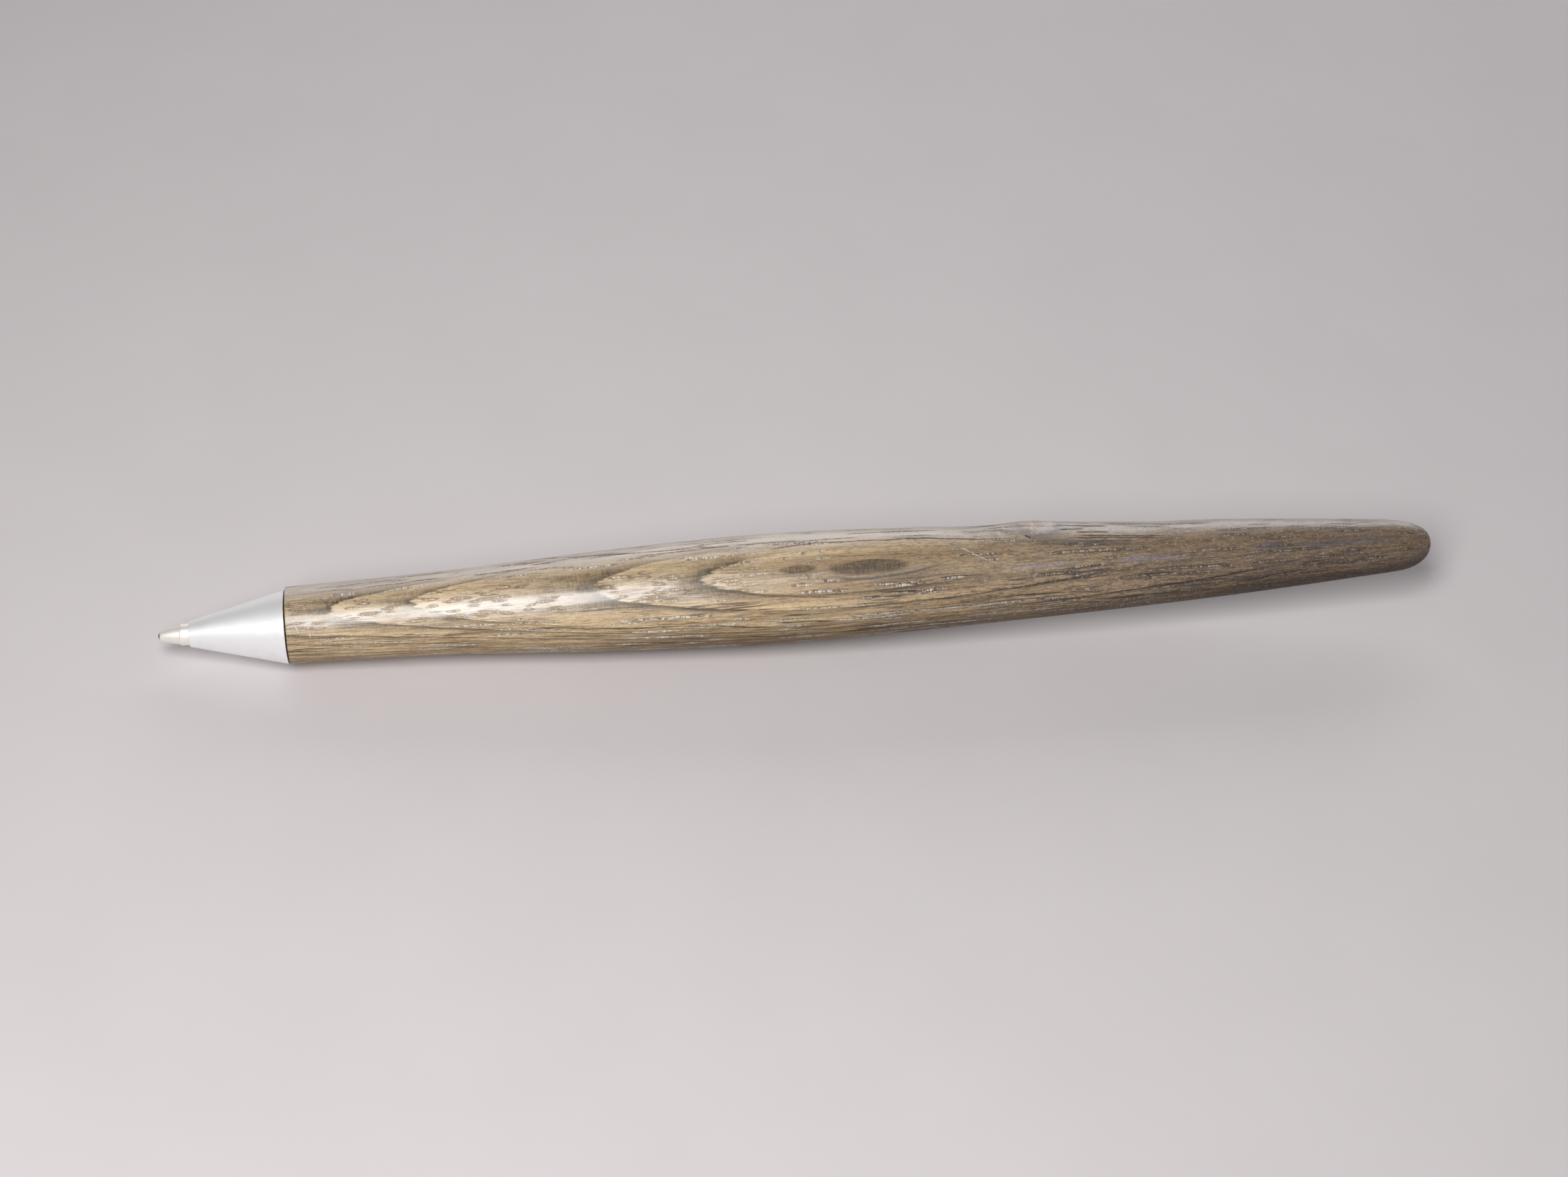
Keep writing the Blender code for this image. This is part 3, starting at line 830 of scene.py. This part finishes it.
def turned_metal(name, bright, dull, gloss, ring_depth, smudge_size, metallic=1.0, front_shade=None):
    """Metal off the lathe: tool rings, a thin film of handling, a few hairlines, and if asked, a front
    darkened with painted shade.
    """
    material, tree, surface = start_material(name)
    place = pen_place(tree)
    rings = use_group(LATHE, place)[0]
    smudge, scratch = use_group(HANDLING, place, smudge_size)
    film = calc("MULTIPLY_ADD", rings, 0.35, times(smudge, 0.65))
    colour = blend(film, shade(*bright), shade(*dull))
    worn = add_up(film, scratch)
    # Painted shade on the front end, where it sits in the dark gap of the joint.
    if front_shade:
        along = split(place)[0]
        dark = rise(add_up(along, times(smudge, 0.3)), 0.9, 0.2)
        colour = blend(dark, colour, shade(*front_shade))
        worn = add_up(worn, dark)
    feed(surface.inputs["Base Color"], colour)
    feed(surface.inputs["Roughness"], rise(worn, 0.1, 1.4, *gloss))
    preset(surface, Metallic=metallic)
    raise_surface(surface, add_up(rings, times(scratch, -0.5)), 0.5, ring_depth)
    return material


def moulded(name, light, deep, gloss, stipple_depth):
    """Moulded plastic or rubber with a fine stipple."""
    material, tree, surface = start_material(name)
    place = pen_place(tree)
    stipple, tone = use_group(MOULDING, place)
    smudge, scratch = use_group(HANDLING, place, 0.6)
    feed(surface.inputs["Base Color"], blend(tone, shade(*light), shade(*deep)))
    feed(surface.inputs["Roughness"], rise(add_up(stipple, smudge), 0.2, 1.5, *gloss))
    raise_surface(surface, add_up(stipple, times(scratch, -0.6)), 0.4, stipple_depth)
    return material


# The wood's own material, with its places in millimetres on the pen

# Directions across the pen: out through the crest of the wood, and round from it to the near side
CREST_OUT = (0, -0.4695, 0.8829)
CREST_ROUND = (0, -0.8829, -0.4695)
SKIN_RADIUS = 5.2
KNOT_HEART = (83.2, 1.75, 5.7)
KNOT_ALONG = (0.46, 0, 0)
KNOT_ROUND = (0, -0.352, 0.184)
KNOT_ARC = -4.09
# Edges of the growth rings, counted outwards through the crest, and their even step further in
RING_EDGES = (1.3, 1.9, 2.4, 3.1, 3.75, 4.5, 5.02, 6.52, 7.34, 8.7)
RING_STEP = 0.66
RING_TURN = 0.0015
# How the rings bow round the crest, climb to the belly and dip behind it
RING_BOW = 0.012
RING_CLIMB = 0.0140
RING_DIP = -0.02848
DIP_START = 69.05
DIP_EASE = 20.0
# Fine dark lines: start and end as (along, around), and half width
DARK_LINES = (
    ((88.5, 4.72), (99.6, 4.35), 0.08),
    ((104.3, 3.92), (113.5, 2.95), 0.09),
    ((93.6, 2.70), (98.0, 2.66), 0.10),
    ((79.0, 3.96), (85.6, 3.85), 0.09),
    ((85.7, -3.86), (91.3, -3.34), 0.13),
    ((85.2, -3.17), (88.5, -3.12), 0.12),
    ((86.9, -2.70), (91.2, -2.46), 0.13),
    ((86.4, -2.30), (97.6, -1.50), 0.13),
    ((85.8, -2.02), (97.0, -1.30), 0.13),
    ((66.0, -3.50), (78.5, -2.40), 0.13),
    ((73.5, -5.14), (79.4, -4.50), 0.12),
    ((52.8, 4.88), (60.5, 5.12), 0.06),
    ((64.6, 2.84), (69.8, 2.92), 0.10),
    ((26.5, 3.30), (36.2, 4.22), 0.07),
    ((33.5, 4.02), (44.0, 4.50), 0.07),
    ((42.0, 4.39), (53.5, 5.25), 0.06),
)
# Brown lines of open pores, most of them on the far side under the painted grey sheen
BROWN_LINES = (
    ((27.0, -4.90), (34.5, -4.30), 0.12),
    ((31.5, -4.48), (40.5, -4.08), 0.13),
    ((38.5, -4.12), (45.5, -4.13), 0.13),
    ((45.2, -3.97), (49.2, -3.95), 0.16),
    ((48.9, -4.00), (57.0, -3.96), 0.12),
    ((52.6, -3.05), (59.6, -3.50), 0.11),
    ((57.5, -3.47), (71.0, -3.03), 0.12),
    ((58.6, -1.58), (70.5, -1.12), 0.10),
    ((49.3, 1.82), (54.8, 2.60), 0.14),
    ((53.0, 2.42), (59.8, 3.00), 0.11),
)
# Painted shadow below the knot: start and end as (along, around), and half width
KNOT_SHADOW_STROKE = ((81.0, -1.72), (94.5, -0.80), 0.50)
KNOT_CHECK = ((81.4, -2.62), (82.1, -2.22), 0.20)
SCRATCHES = (
    ((74.0, -1.65), (76.8, 0.1), 0.08),
    ((76.2, -0.15), (78.0, 0.55), 0.05),
    ((2.40, 1.2), (2.65, 2.5), 0.06),
    ((0.9, 0.8), (1.45, 2.0), 0.06),
)


def ring_phase(layer):
    """How far through its ring a spot is: 0 at the pale porous start, 1 at the dark end."""
    low, high = RING_EDGES[0], RING_EDGES[-1]
    ladder = node(tree_of(layer), "ShaderNodeValToRGB")
    ramp = ladder.color_ramp
    ramp.interpolation = "LINEAR"
    stops = []
    for inner, outer in zip(RING_EDGES, RING_EDGES[1:]):
        stops.append(((inner - low) / (high - low) + RING_TURN, 0.0))
        stops.append(((outer - low) / (high - low) - RING_TURN, 1.0))
    ramp.elements[0].position, ramp.elements[1].position = stops[0][0], stops[-1][0]
    ramp.elements[0].color = (0, 0, 0, 1)
    ramp.elements[1].color = (1, 1, 1, 1)
    for position, value in stops[1:-1]:
        made = ramp.elements.new(position)
        made.color = (value, value, value, 1)
    depth = less(layer, low)
    feed(ladder.inputs[0], times(depth, 1 / (high - low)))
    even = calc("FRACT", times(depth, 1 / RING_STEP))
    inside = calc("GREATER_THAN", layer, low)
    return weigh((ladder.outputs["Color"], inside), (even, without(inside)))


def open_pored_wood():
    """Weathered wood: rings that the carving cuts, pores, stains, a knot and a worn coat of wax, with
    painted light: a highlight, sheen, glints, shade and a shadow.
    """
    material, tree, surface = start_material("open_pored_wood")
    place = pen_place(tree)
    along = split(place)[0]
    outward = measure(place, CREST_OUT)
    around = measure(place, CREST_ROUND)

    # The knot on the far side: how far a spot is from its heart, in knot widths.
    from_knot = vector("SUBTRACT", place, KNOT_HEART)
    knot_along = measure(from_knot, KNOT_ALONG)
    knot_round = measure(from_knot, KNOT_ROUND)
    wobble = swing(place, (0.9, 0.9, 0.9), 3.0)
    knot_far = add_up(distance(knot_along, knot_round), times(wobble, 0.6))
    far_side = rise(around, -1.6, -2.2)

    # Growth rings: a bowed pile of layers that rises towards the belly and dips again to the tail.
    dip = calc("SMOOTH_MAX", less(along, DIP_START), 0.0, DIP_EASE)
    sway = swing(place, (0.05, 0.35, 0.35))
    shiver = swing(place, (0.30, 1.8, 1.8), 3.0)
    ragged = swing(place, (0.20, 2.6, 2.6), 3.0, 0.6)
    level = rise(calc("ABSOLUTE", around), 2.8, 1.0)
    layer = add_up(
        outward,
        times(around, around, RING_BOW),
        times(along, RING_CLIMB),
        times(dip, RING_DIP),
        times(sway, 0.20),
        times(shiver, 0.16),
        times(rise(knot_far, 2.4, 0.4), far_side, -1.3),
        times(ragged, level, 0.20),
    )
    grain = join(along, around, layer)
    phase = ring_phase(layer)

    # The surface unrolled: along the pen and round it, in millimetres, with a slow waver.
    # Round the knot it spreads to both sides.
    arc = times(calc("ARCTAN2", around, outward), SKIN_RADIUS)
    by_knot = less(KNOT_ARC, arc)
    spread = times(by_knot, rise(knot_far, 2.6, 0.9, 0.0, 0.5), rise(calc("ABSOLUTE", by_knot), 3.4, 1.2))
    skin = join(along, add_up(arc, spread, times(sway, 0.9)), 0.0)

    def oval(middle, half, wander):
        """How far a spot is from a ragged oval's middle, in its half lengths."""
        far = distance(
            times(less(along, middle[0]), 1 / half[0]),
            times(less(around, middle[1]), 1 / half[1]),
        )
        return add_up(far, times(shiver, wander))

    def off_line(*parts):
        """How far a spot is aside from a line along the pen, given by what moves its place round it."""
        return calc("ABSOLUTE", add_up(around, *parts))

    def paint(share, strength, tint, way="MIX"):
        """Lays a tint over the colour so far."""
        nonlocal colour
        if not isinstance(tint, bpy.types.NodeSocket):
            tint = shade(*tint)
        if strength < 1:
            share = times(share, strength)
        colour = blend(share, colour, tint, way)

    # Ground colour: fibres, fine grains, broader streaks and slow drift.
    fibre = cloud(grain, (0.50, 9.0, 9.0), 3.0, 0.6)
    speck = cloud(grain, (2.6, 8.0, 8.0), 3.0, 0.65)
    streak = cloud(grain, (0.10, 2.6, 2.6), 3.0, 0.6)
    drift = cloud(grain, (0.06, 0.5, 0.5))
    tone = weigh((fibre, 0.40), (speck, 0.30), (streak, 0.35), (drift, 0.25))
    colour = blend(rise(tone, 0.44, 0.84), shade(134, 109, 76), shade(236, 208, 164))

    # Late wood: darker towards the end of each ring where it is cut level, with fine cross bars.
    # Behind the belly the rings run out and only their lines on the near side stay.
    patch = rise(cloud(grain, (0.10, 0.7, 0.7)), 0.36, 0.64)
    bars = rise(cloud(grain, (6.0, 1.2, 1.2)), 0.38, 0.62)
    shown = without(where((along, 58, 68), (around, 2.2, 1.0)))
    # The crest of the front half is painted paler where the highlight falls, and the late wood under it
    # fainter.
    painted_crest_highlight = where((apart(around, 0.75), 1.1, 0.3), (along, 46, 36))
    faint = where((along, 48.5, 52), (around, 2.6, 1.9))
    late = times(
        calc("POWER", phase, 1.35),
        ease(patch, 0.75, 1.0),
        rise(calc("ABSOLUTE", around), 3.4, 1.4, 0.35, 1.0),
        shown,
        ease(painted_crest_highlight, 1.0, 0.45),
        rise(along, 66, 80, 1.0, 0.45),
        ease(faint, 1.0, 0.50),
    )

    # The eye at the belly, where one ring is cut level: a dark oval with a pale rim.
    # Two dark patches lie before it.
    eye_far = oval((63.8, 0.0), (5.1, 1.02), 0.5)
    patch_far = oval((55.9, -0.2), (2.3, 0.62), 0.8)
    tip_far = oval((33.6, -0.10), (3.6, 0.60), 0.9)
    eye_rim = between(eye_far, 0.95, 1.05, 1.15, 1.5)
    late = most(
        times(late, without(times(eye_rim, 0.8))),
        rise(eye_far, 1.02, 0.66, 0.0, 0.80),
        rise(patch_far, 1.1, 0.5, 0.0, 0.8),
        rise(tip_far, 1.1, 0.3, 0.0, 0.85),
    )
    paint(times(late, ease(bars, 0.72, 1.0)), 1, (54, 40, 24))

    # A fine line ends each ring, firmer on the near side and behind the belly.
    near_side = most(rise(around, 0.8, 3.0), rise(around, -3.6, -4.8))
    bold = most(
        rise(cloud(grain, (0.05, 0.4, 0.4), 1.0), 0.38, 0.60, 0.35, 1.0),
        rise(along, 62, 72),
        rise(apart(arc, -1.8), 4.8, 6.3),
    )
    firm = times(add_up(times(patch, 0.40), times(near_side, 0.25), 0.35), bold)
    thin_from = rise(along, 60, 74, 0.82, 0.89)
    paint(times(rise(phase, thin_from, 0.97), firm, shown, ease(faint, 1.0, 0.35)), 1, (56, 45, 37))

    # The crest of the front half gets a pale grey painted highlight.
    paint(painted_crest_highlight, 0.40, (158, 148, 140))

    # Fine dark threads and hairs between the rings, mostly on the near side.
    threads = calc("ABSOLUTE", swing(skin, (0.045, 2.6, 0.0)))
    thread_zone = times(rise(arc, -0.5, 2.0, 0.15, 0.95), ease(patch, 0.35, 1.0))
    paint(times(rise(threads, 0.030, 0.005), thread_zone), 1, (64, 49, 35))
    hairs = calc("ABSOLUTE", swing(skin, (0.06, 4.6, 3.0)))
    hair_zone = where((arc, 0.8, 2.6, 0.0, 0.8), (streak, 0.60, 0.40), (along, 25, 42, 0.35, 1.0))
    paint(times(rise(hairs, 0.028, 0.004), hair_zone), 1, (70, 54, 39))

    # The crest is darker from the belly back, the near side gets painted shade downwards, the far side a
    # grey painted sheen.
    band = where((apart(around, 0.5), 3.1, 1.4), (along, 38, 62), (along, 68, 90, 1.0, 0.5))
    paint(band, 0.80, (192, 183, 172), "MULTIPLY")
    # Painted shade on the near side towards the underside, less of it at the front.
    shaded = where((arc, 3.6, 6.6), (along, 18, 46, 0.22, 1.0))
    paint(shaded, 0.75, (150, 143, 136), "MULTIPLY")
    # Painted sheen: the far side is greyed.
    paint(between(arc, -9.0, -6.0, -3.6, -1.3), 0.56, (162, 154, 154))

    # The dark check that runs under the eye.
    bowed = calc("POWER", less(along, 64.0), 2.0)
    under_eye = off_line(-1.28, times(bowed, 0.018), times(shiver, 0.3))
    under_run = between(along, 58.5, 61.5, 69.0, 73.5)
    under_line = times(rise(under_eye, 0.17, 0.05), under_run)
    paint(under_line, 0.8, (58, 54, 58))

    # Pores: lens-shaped pits in clusters on the crest of the front half, with rims of painted shade and
    # painted glints inside.
    early = times(
        rise(phase, 0.90, 0.65),
        rise(eye_far, 1.0, 1.6),
        rise(patch_far, 0.9, 1.4),
        without(times(rise(under_eye, 0.60, 0.30), under_run)),
    )
    crest = where((apart(around, 0.2), 2.4, 1.5), (along, 56, 46))
    ahead, aside, lot, size = seeds(skin, 2.5, 0.44)
    lens = add_up(
        distance(calc("DIVIDE", ahead, ease(size, 0.7, 1.25)), times(aside, 1 / 0.17)),
        times(wobble, 0.5),
        times(ragged, 1.2),
    )
    cluster = rise(cloud(skin, (0.17, 0.55, 0.0), 1.0), 0.44, 0.50)
    pit_zone = times(early, crest, cluster, rise(lot, 0.20, 0.22))
    pit = times(rise(lens, 1.0, 0.75), pit_zone)
    pit_rim_shade = times(between(lens, 0.65, 0.95, 1.05, 1.35), pit_zone)
    pit_glint = times(string_of_beads(along, aside, 0.27, lot), pit)

    # Elsewhere the pores lie in long rows, in two sizes, strung with pale painted glints. Their beds widen
    # towards the tail.
    off_crest = without(crest)
    beaded = most(rise(arc, -3.6, -2.4), rise(arc, -6.5, -8.5))
    fleck = cloud(skin, (2.3, 6.5, 0.0), 3.0, 0.7)
    fine_noise = cloud(skin, (1.4, 7.0, 0.0), 3.0, 0.7)
    speck_glint_spread = rise(add_up(fine_noise, rise(arc, 2.0, 5.0, -0.02, 0.09)), 0.48, 0.62)
    bed_shape = ease(where((along, 30, 85), (arc, -3.0, -1.5)), 0.95, 0.55)
    rows = []
    row_glints = []
    for length, width, least in ((17.0, 0.60, 0.28), (10.0, 0.47, 0.36)):
        ahead, aside, lot, size = seeds(skin, length, width)
        aside = calc("ABSOLUTE", add_up(aside, times(ragged, 0.25)))
        end = less(calc("ABSOLUTE", ahead), ease(size, 1.0, 0.38 * length))
        run = times(rise(end, 0.0, -1.5), rise(lot, least, least + 0.02), early, off_crest)
        bed = rise(times(aside, bed_shape), 0.15, 0.05)
        rows.append(times(bed, run, rise(fleck, 0.34, 0.56)))
        beads = times(string_of_beads(along, aside, 0.29, lot), run)
        speck_glints = times(rise(aside, 0.17, 0.05), run, speck_glint_spread, rise(along, 70, 92, 1.0, 0.40))
        row_glints.append(times(most(beads, times(speck_glints, 0.60)), beaded))
    row = most(*rows)
    row_glint = most(*row_glints)
    open_pore = most(pit, row)
    row_dark = most(rise(along, 48, 78), rise(arc, -1.8, -3.0))
    # The pits' dark rims are painted shade; the pale beads in pits and rows are painted glints.
    paint(row, 0.80, blend(row_dark, shade(106, 82, 60), shade(60, 46, 37)))
    paint(pit, 0.70, (156, 128, 98))
    paint(pit_rim_shade, 0.70, (78, 61, 46))
    paint(pit_glint, 0.70, (236, 222, 200))
    paint(row_glint, 0.86, (250, 244, 232))

    # The tail is darker and greyer towards its end, mottled and dashed, and darkest underneath, where
    # painted shade lies.
    tail = rise(add_up(along, times(drift, 16.0)), 50, 124)
    paint(tail, 0.92, (152, 145, 149), "MULTIPLY")
    aged = rise(along, 56, 92)
    mottle = rise(cloud(skin, (0.75, 2.6, 0.0), 4.0, 0.65), 0.50, 0.60)
    paint(times(mottle, aged), 0.48, (62, 50, 43))
    dashes = times(rise(fine_noise, 0.50, 0.40), rise(along, 40, 84, 0.20, 0.90), beaded)
    paint(dashes, 0.55, (62, 49, 40))
    paint(times(rise(fleck, 0.56, 0.68), aged), 0.60, (196, 178, 156))
    # Painted shade under the tail.
    painted_shade_under_tail = where((arc, 2.0, 5.5), (along, 92, 112))
    paint(painted_shade_under_tail, 0.8, (170, 162, 156), "MULTIPLY")

    # Blue-grey stains behind the belly and near the tail, each in two runs.
    stain = times(
        rise(off_line(-1.12, times(shiver, 1.2)), 0.42, 0.06),
        between(along, 78.5, 82, 96, 101),
        rise(apart(along, 89.0), 2.0, 4.0),
        rise(fleck, 0.38, 0.64),
    )
    paint(stain, 0.62, (122, 130, 158))
    tail_stain = times(
        rise(off_line(-0.50, shiver), 0.62, 0.15),
        between(along, 106, 109, 121, 124.5),
        rise(apart(along, 111.6), 0.6, 1.6),
        rise(fibre, 0.36, 0.56),
    )
    paint(tail_stain, 0.80, (78, 73, 79))

    # The knot: a pale ragged heart, its paleness partly painted sheen, with faint rings, tan on its front
    # side, in a dark bed.
    # Below and behind it trails a painted shadow.
    paint(times(rise(knot_far, 2.0, 1.0), far_side), 0.45, (104, 98, 98))
    knot_tone = rise(cloud(place, (3.0, 3.0, 3.0), 3.0, 0.7), 0.35, 0.65)
    heart = times(rise(add_up(knot_far, times(knot_tone, 0.24)), 1.20, 0.66), far_side)
    knot_rings = calc("SINE", weigh((knot_far, 17.0), (wobble, 9.0)))
    knot_mix = add_up(times(knot_rings, 0.36), times(knot_along, 0.8), wobble)
    knot_colour = blend(rise(knot_mix, -0.7, 0.2), shade(166, 130, 104), shade(172, 160, 157))
    knot_core = rise(knot_far, 0.42, 0.10)
    knot_colour = blend(times(knot_core, 0.6), knot_colour, shade(128, 104, 86))
    knot_colour = blend(times(knot_tone, 0.30), knot_colour, shade(126, 110, 102))
    paint(heart, 0.90, knot_colour)
    paint(times(between(knot_far, 0.82, 0.98, 1.02, 1.20), far_side), 0.45, (88, 82, 86))
    # Painted shadow below and behind the knot.
    painted_knot_shadow = times(
        stroke(along, around, *KNOT_SHADOW_STROKE),
        rise(fibre, 0.34, 0.56, 0.35, 1.0),
        rise(knot_far, 0.9, 1.2),
    )
    paint(painted_knot_shadow, 0.68, (66, 59, 58))

    # Long lines: a dark one along a ring behind the belly, shorter dark ones, and brown ones.
    # They have no relief of their own, because the renderer limits the size of one shader.
    ring_run = times(between(along, 78, 84, 104, 111), rise(around, 2.4, 2.9))
    ring_line = times(rise(apart(layer, 5.0), 0.11, 0.03), ring_run)
    wavering = add_up(around, times(shiver, 0.35))
    dark_line = most(ring_line, strokes(along, wavering, DARK_LINES))
    dark_line = times(dark_line, rise(fibre, 0.34, 0.54, 0.45, 1.0))
    paint(dark_line, 0.92, (50, 40, 35))
    brown_line = strokes(along, wavering, BROWN_LINES)
    brown_line = times(brown_line, rise(speck, 0.38, 0.54, 0.30, 1.0))
    paint(brown_line, 0.85, (98, 72, 56))
    open_line = most(dark_line, brown_line)

    # The short check below the knot, and pale scratches from use.
    check = stroke(along, around, *KNOT_CHECK)
    paint(check, 1, (44, 36, 32))
    scratches = times(strokes(along, around, SCRATCHES), rise(speck, 0.40, 0.60))
    paint(scratches, 0.8, (232, 224, 212))
    smudge, scratch = use_group(HANDLING, place, 0.22)
    paint(scratch, 0.10, (226, 218, 204))
    feed(surface.inputs["Base Color"], colour)

    # A thin coat of wax, cloudy and worn, over satin wood that is rougher in its pores.
    worn_crest = where((along, 40, 54), (around, -1.6, -0.5))
    wax = times(
        rise(cloud(place, (0.16, 0.7, 0.7), 4.0, 0.6), 0.34, 0.56, 0.45, 1.0),
        ease(open_pore, 1.0, 0.3),
        rise(arc, 2.2, 5.0, 1.0, 0.1),
        rise(open_line, 0.0, 0.8, 1.0, 0.05),
        rise(late, 0.2, 0.75, 1.0, 0.18),
        ease(worn_crest, 1.0, 0.35),
    )
    feed(surface.inputs["Coat Weight"], wax)
    preset(surface, Coat_Roughness=0.40, Coat_IOR=1.8, Specular_IOR_Level=0.45)
    rough = add_up(
        0.30,
        times(most(open_pore, open_line), 0.22),
        times(smudge, 0.12),
        times(fibre, 0.16),
        rise(arc, 2.5, 5.5, 0.0, 0.2),
        times(worn_crest, 0.10),
    )
    feed(surface.inputs["Roughness"], rough)
    height = weigh(
        (open_pore, -1.0),
        (most(row_glint, pit_glint), 0.5),
        (fibre, 0.30),
        (late, 0.22),
        (check, -1.5),
        (under_line, -0.6),
        (scratches, -0.4),
        (times(knot_rings, heart), 0.12),
    )
    raise_surface(surface, height, strength=0.6, depth=0.00010)
    return material


# The table and the room

ROOM_COLOUR = shade(202, 196, 197)
# The table lies a hair below the pen, so that the two surfaces don't coincide
TABLE_DROP = 0.00003


def seen_rays(tree):
    """1 for what the camera sees, directly, in a reflection or through something clear."""
    path = node(tree, "ShaderNodeLightPath").outputs
    return most(path["Is Camera Ray"], path["Is Glossy Ray"], path["Is Transmission Ray"])


def pale_table():
    material, tree, surface = start_material("pale_table")
    spot = node(tree, "ShaderNodeTexCoord").outputs["Object"]
    grain = cloud(spot, (60.0, 60.0, 60.0), 3.0)
    feed(surface.inputs["Base Color"], blend(grain, ROOM_COLOUR, shade(208, 202, 203)))
    preset(surface, Roughness=0.55)

    # Far from the pen the table fades into the pale room.
    glow = node(tree, "ShaderNodeEmission")
    preset(glow, Color=ROOM_COLOUR)
    far = rise(distance(*split(spot)[:2]), 0.16, 0.42)
    mix_surfaces(times(far, seen_rays(tree)), surface, glow, "Material Output")
    return material


def pale_room():
    """A room that lights the pen faintly and shows pale round the horizon."""
    world = bpy.data.worlds.new("pale_room")
    world.use_nodes = True
    tree = world.node_tree
    air = tree.nodes["Background"]
    preset(air, Color=(1.0, 0.985, 0.98, 1.0), Strength=0.07)
    wall = node(tree, "ShaderNodeBackground")
    preset(wall, Color=ROOM_COLOUR)
    height = split(node(tree, "ShaderNodeTexCoord").outputs["Generated"])[2]
    feed(wall.inputs["Strength"], rise(height, 0.15, 0.55, 1.0, 0.30))
    mix_surfaces(seen_rays(tree), air, wall, "World Output")
    return world


# Putting it together


def place_pieces():
    # bright and dull colour, smoothest and roughest, depth of the tool rings, size of the smudges
    steel = turned_metal("satin_steel", (253, 253, 253), (244, 244, 246), (0.36, 0.50), 3e-6, 0.35, 0.60)
    nickel = turned_metal("nickel_silver", (252, 248, 243), (242, 234, 226), (0.36, 0.50), 2e-6, 0.9, 0.60)
    hard_metal = turned_metal("hard_ball", (120, 124, 134), (96, 99, 108), (0.10, 0.26), 1e-6, 1.6)
    # The bush's front gets painted shade for the gap at the joint.
    brass = turned_metal(
        "turned_brass", (222, 190, 122), (190, 152, 84), (0.22, 0.42), 6e-6, 0.5, front_shade=(58, 48, 36)
    )
    wire = turned_metal("spring_wire", (206, 206, 208), (176, 176, 180), (0.18, 0.34), 1e-6, 1.2)

    wood = carve_wood()
    dress(wood, open_pored_wood())
    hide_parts("barrel")
    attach(wood, "barrel")

    cone = turn_cone()
    dress(cone, steel)
    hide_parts("nose_cone")
    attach(cone, "nose")

    point = turn_point()
    dress(point, nickel)
    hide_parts("tip_socket")
    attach(point, "refill")

    spring = coil_spring()
    dress(spring, wire)
    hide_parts("thrust_spring")
    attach(spring, "barrel")
    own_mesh(spring)

    for name, material in (
        ("writing_ball", hard_metal),
        ("threaded_bush", brass),
        ("spring_seat", brass),
        ("seal_ring", moulded("black_rubber", (34, 34, 35), (24, 24, 25), (0.48, 0.72), 6e-6)),
        ("ink_tube", moulded("milky_plastic", (232, 231, 226), (222, 220, 213), (0.26, 0.44), 3e-6)),
        ("tail_plug", moulded("red_plastic", (224, 92, 80), (206, 76, 66), (0.28, 0.46), 3e-6)),
        ("ink_column", moulded("ink_paste", (26, 32, 92), (18, 22, 70), (0.08, 0.22), 2e-6)),
    ):
        dress(NODES[name], material)


def add_lamp(name, place, aim, size, power):
    clear_selection()
    bpy.ops.object.light_add(type="AREA", location=place)
    lamp = bpy.context.object
    lamp.name = name
    lamp.data.shape = "RECTANGLE"
    lamp.data.size, lamp.data.size_y = size
    lamp.visible_camera = False
    lamp.data.energy = power
    away = Vector(place) - Vector(aim)
    lamp.rotation_euler = away.to_track_quat("Z", "Y").to_euler()


def set_stage():
    clear_selection()
    bpy.ops.mesh.primitive_plane_add(size=3.0, location=(0, 0, 0))
    table = bpy.context.object
    table.name = "table_top"
    table.data.transform(Matrix.Translation((0, 0, -TABLE_DROP)))
    dress(table, pale_table())

    bpy.context.scene.world = pale_room()
    add_lamp("key_box", (-0.095, -0.205, 0.305), (-0.035, 0.0, 0.005), (0.13, 0.26), 1.45)
    add_lamp("back_strip", (0.42, 0.70, 0.28), (0.42, 0.0, 0.0), (1.1, 0.50), 3.3)
    add_lamp("wide_fill", (-0.3, -0.1, 0.9), (0.0, 0.0, 0.0), (0.7, 0.7), 0.2)


def set_camera():
    azimuth, elevation, roll = math.radians(-7.514), math.radians(45.846), math.radians(2.291)
    aim = Vector((-0.001150, 0.006053, 0.0))
    away = 0.36964
    sensor = 36.0
    photo_width, focal_pixels = 2212, 4589
    back = Vector((
        math.sin(azimuth) * math.cos(elevation),
        -math.cos(azimuth) * math.cos(elevation),
        math.sin(elevation),
    ))
    level = Vector((math.cos(azimuth), math.sin(azimuth), 0))
    upright = back.cross(level)
    side = level * math.cos(roll) + upright * math.sin(roll)
    top = upright * math.cos(roll) - level * math.sin(roll)
    clear_selection()
    bpy.ops.object.camera_add()
    camera = bpy.context.object
    camera.name = "photo_camera"
    turned = Matrix((side, top, back)).transposed().to_4x4()
    camera.matrix_world = Matrix.Translation(aim + back * away) @ turned
    camera.data.sensor_fit = "HORIZONTAL"
    camera.data.sensor_width = sensor
    camera.data.lens = focal_pixels / photo_width * sensor
    camera.data.clip_start = 0.01
    bpy.context.scene.camera = camera


set_camera()
place_pieces()
set_stage()
bpy.context.scene.view_settings.view_transform = "Standard"
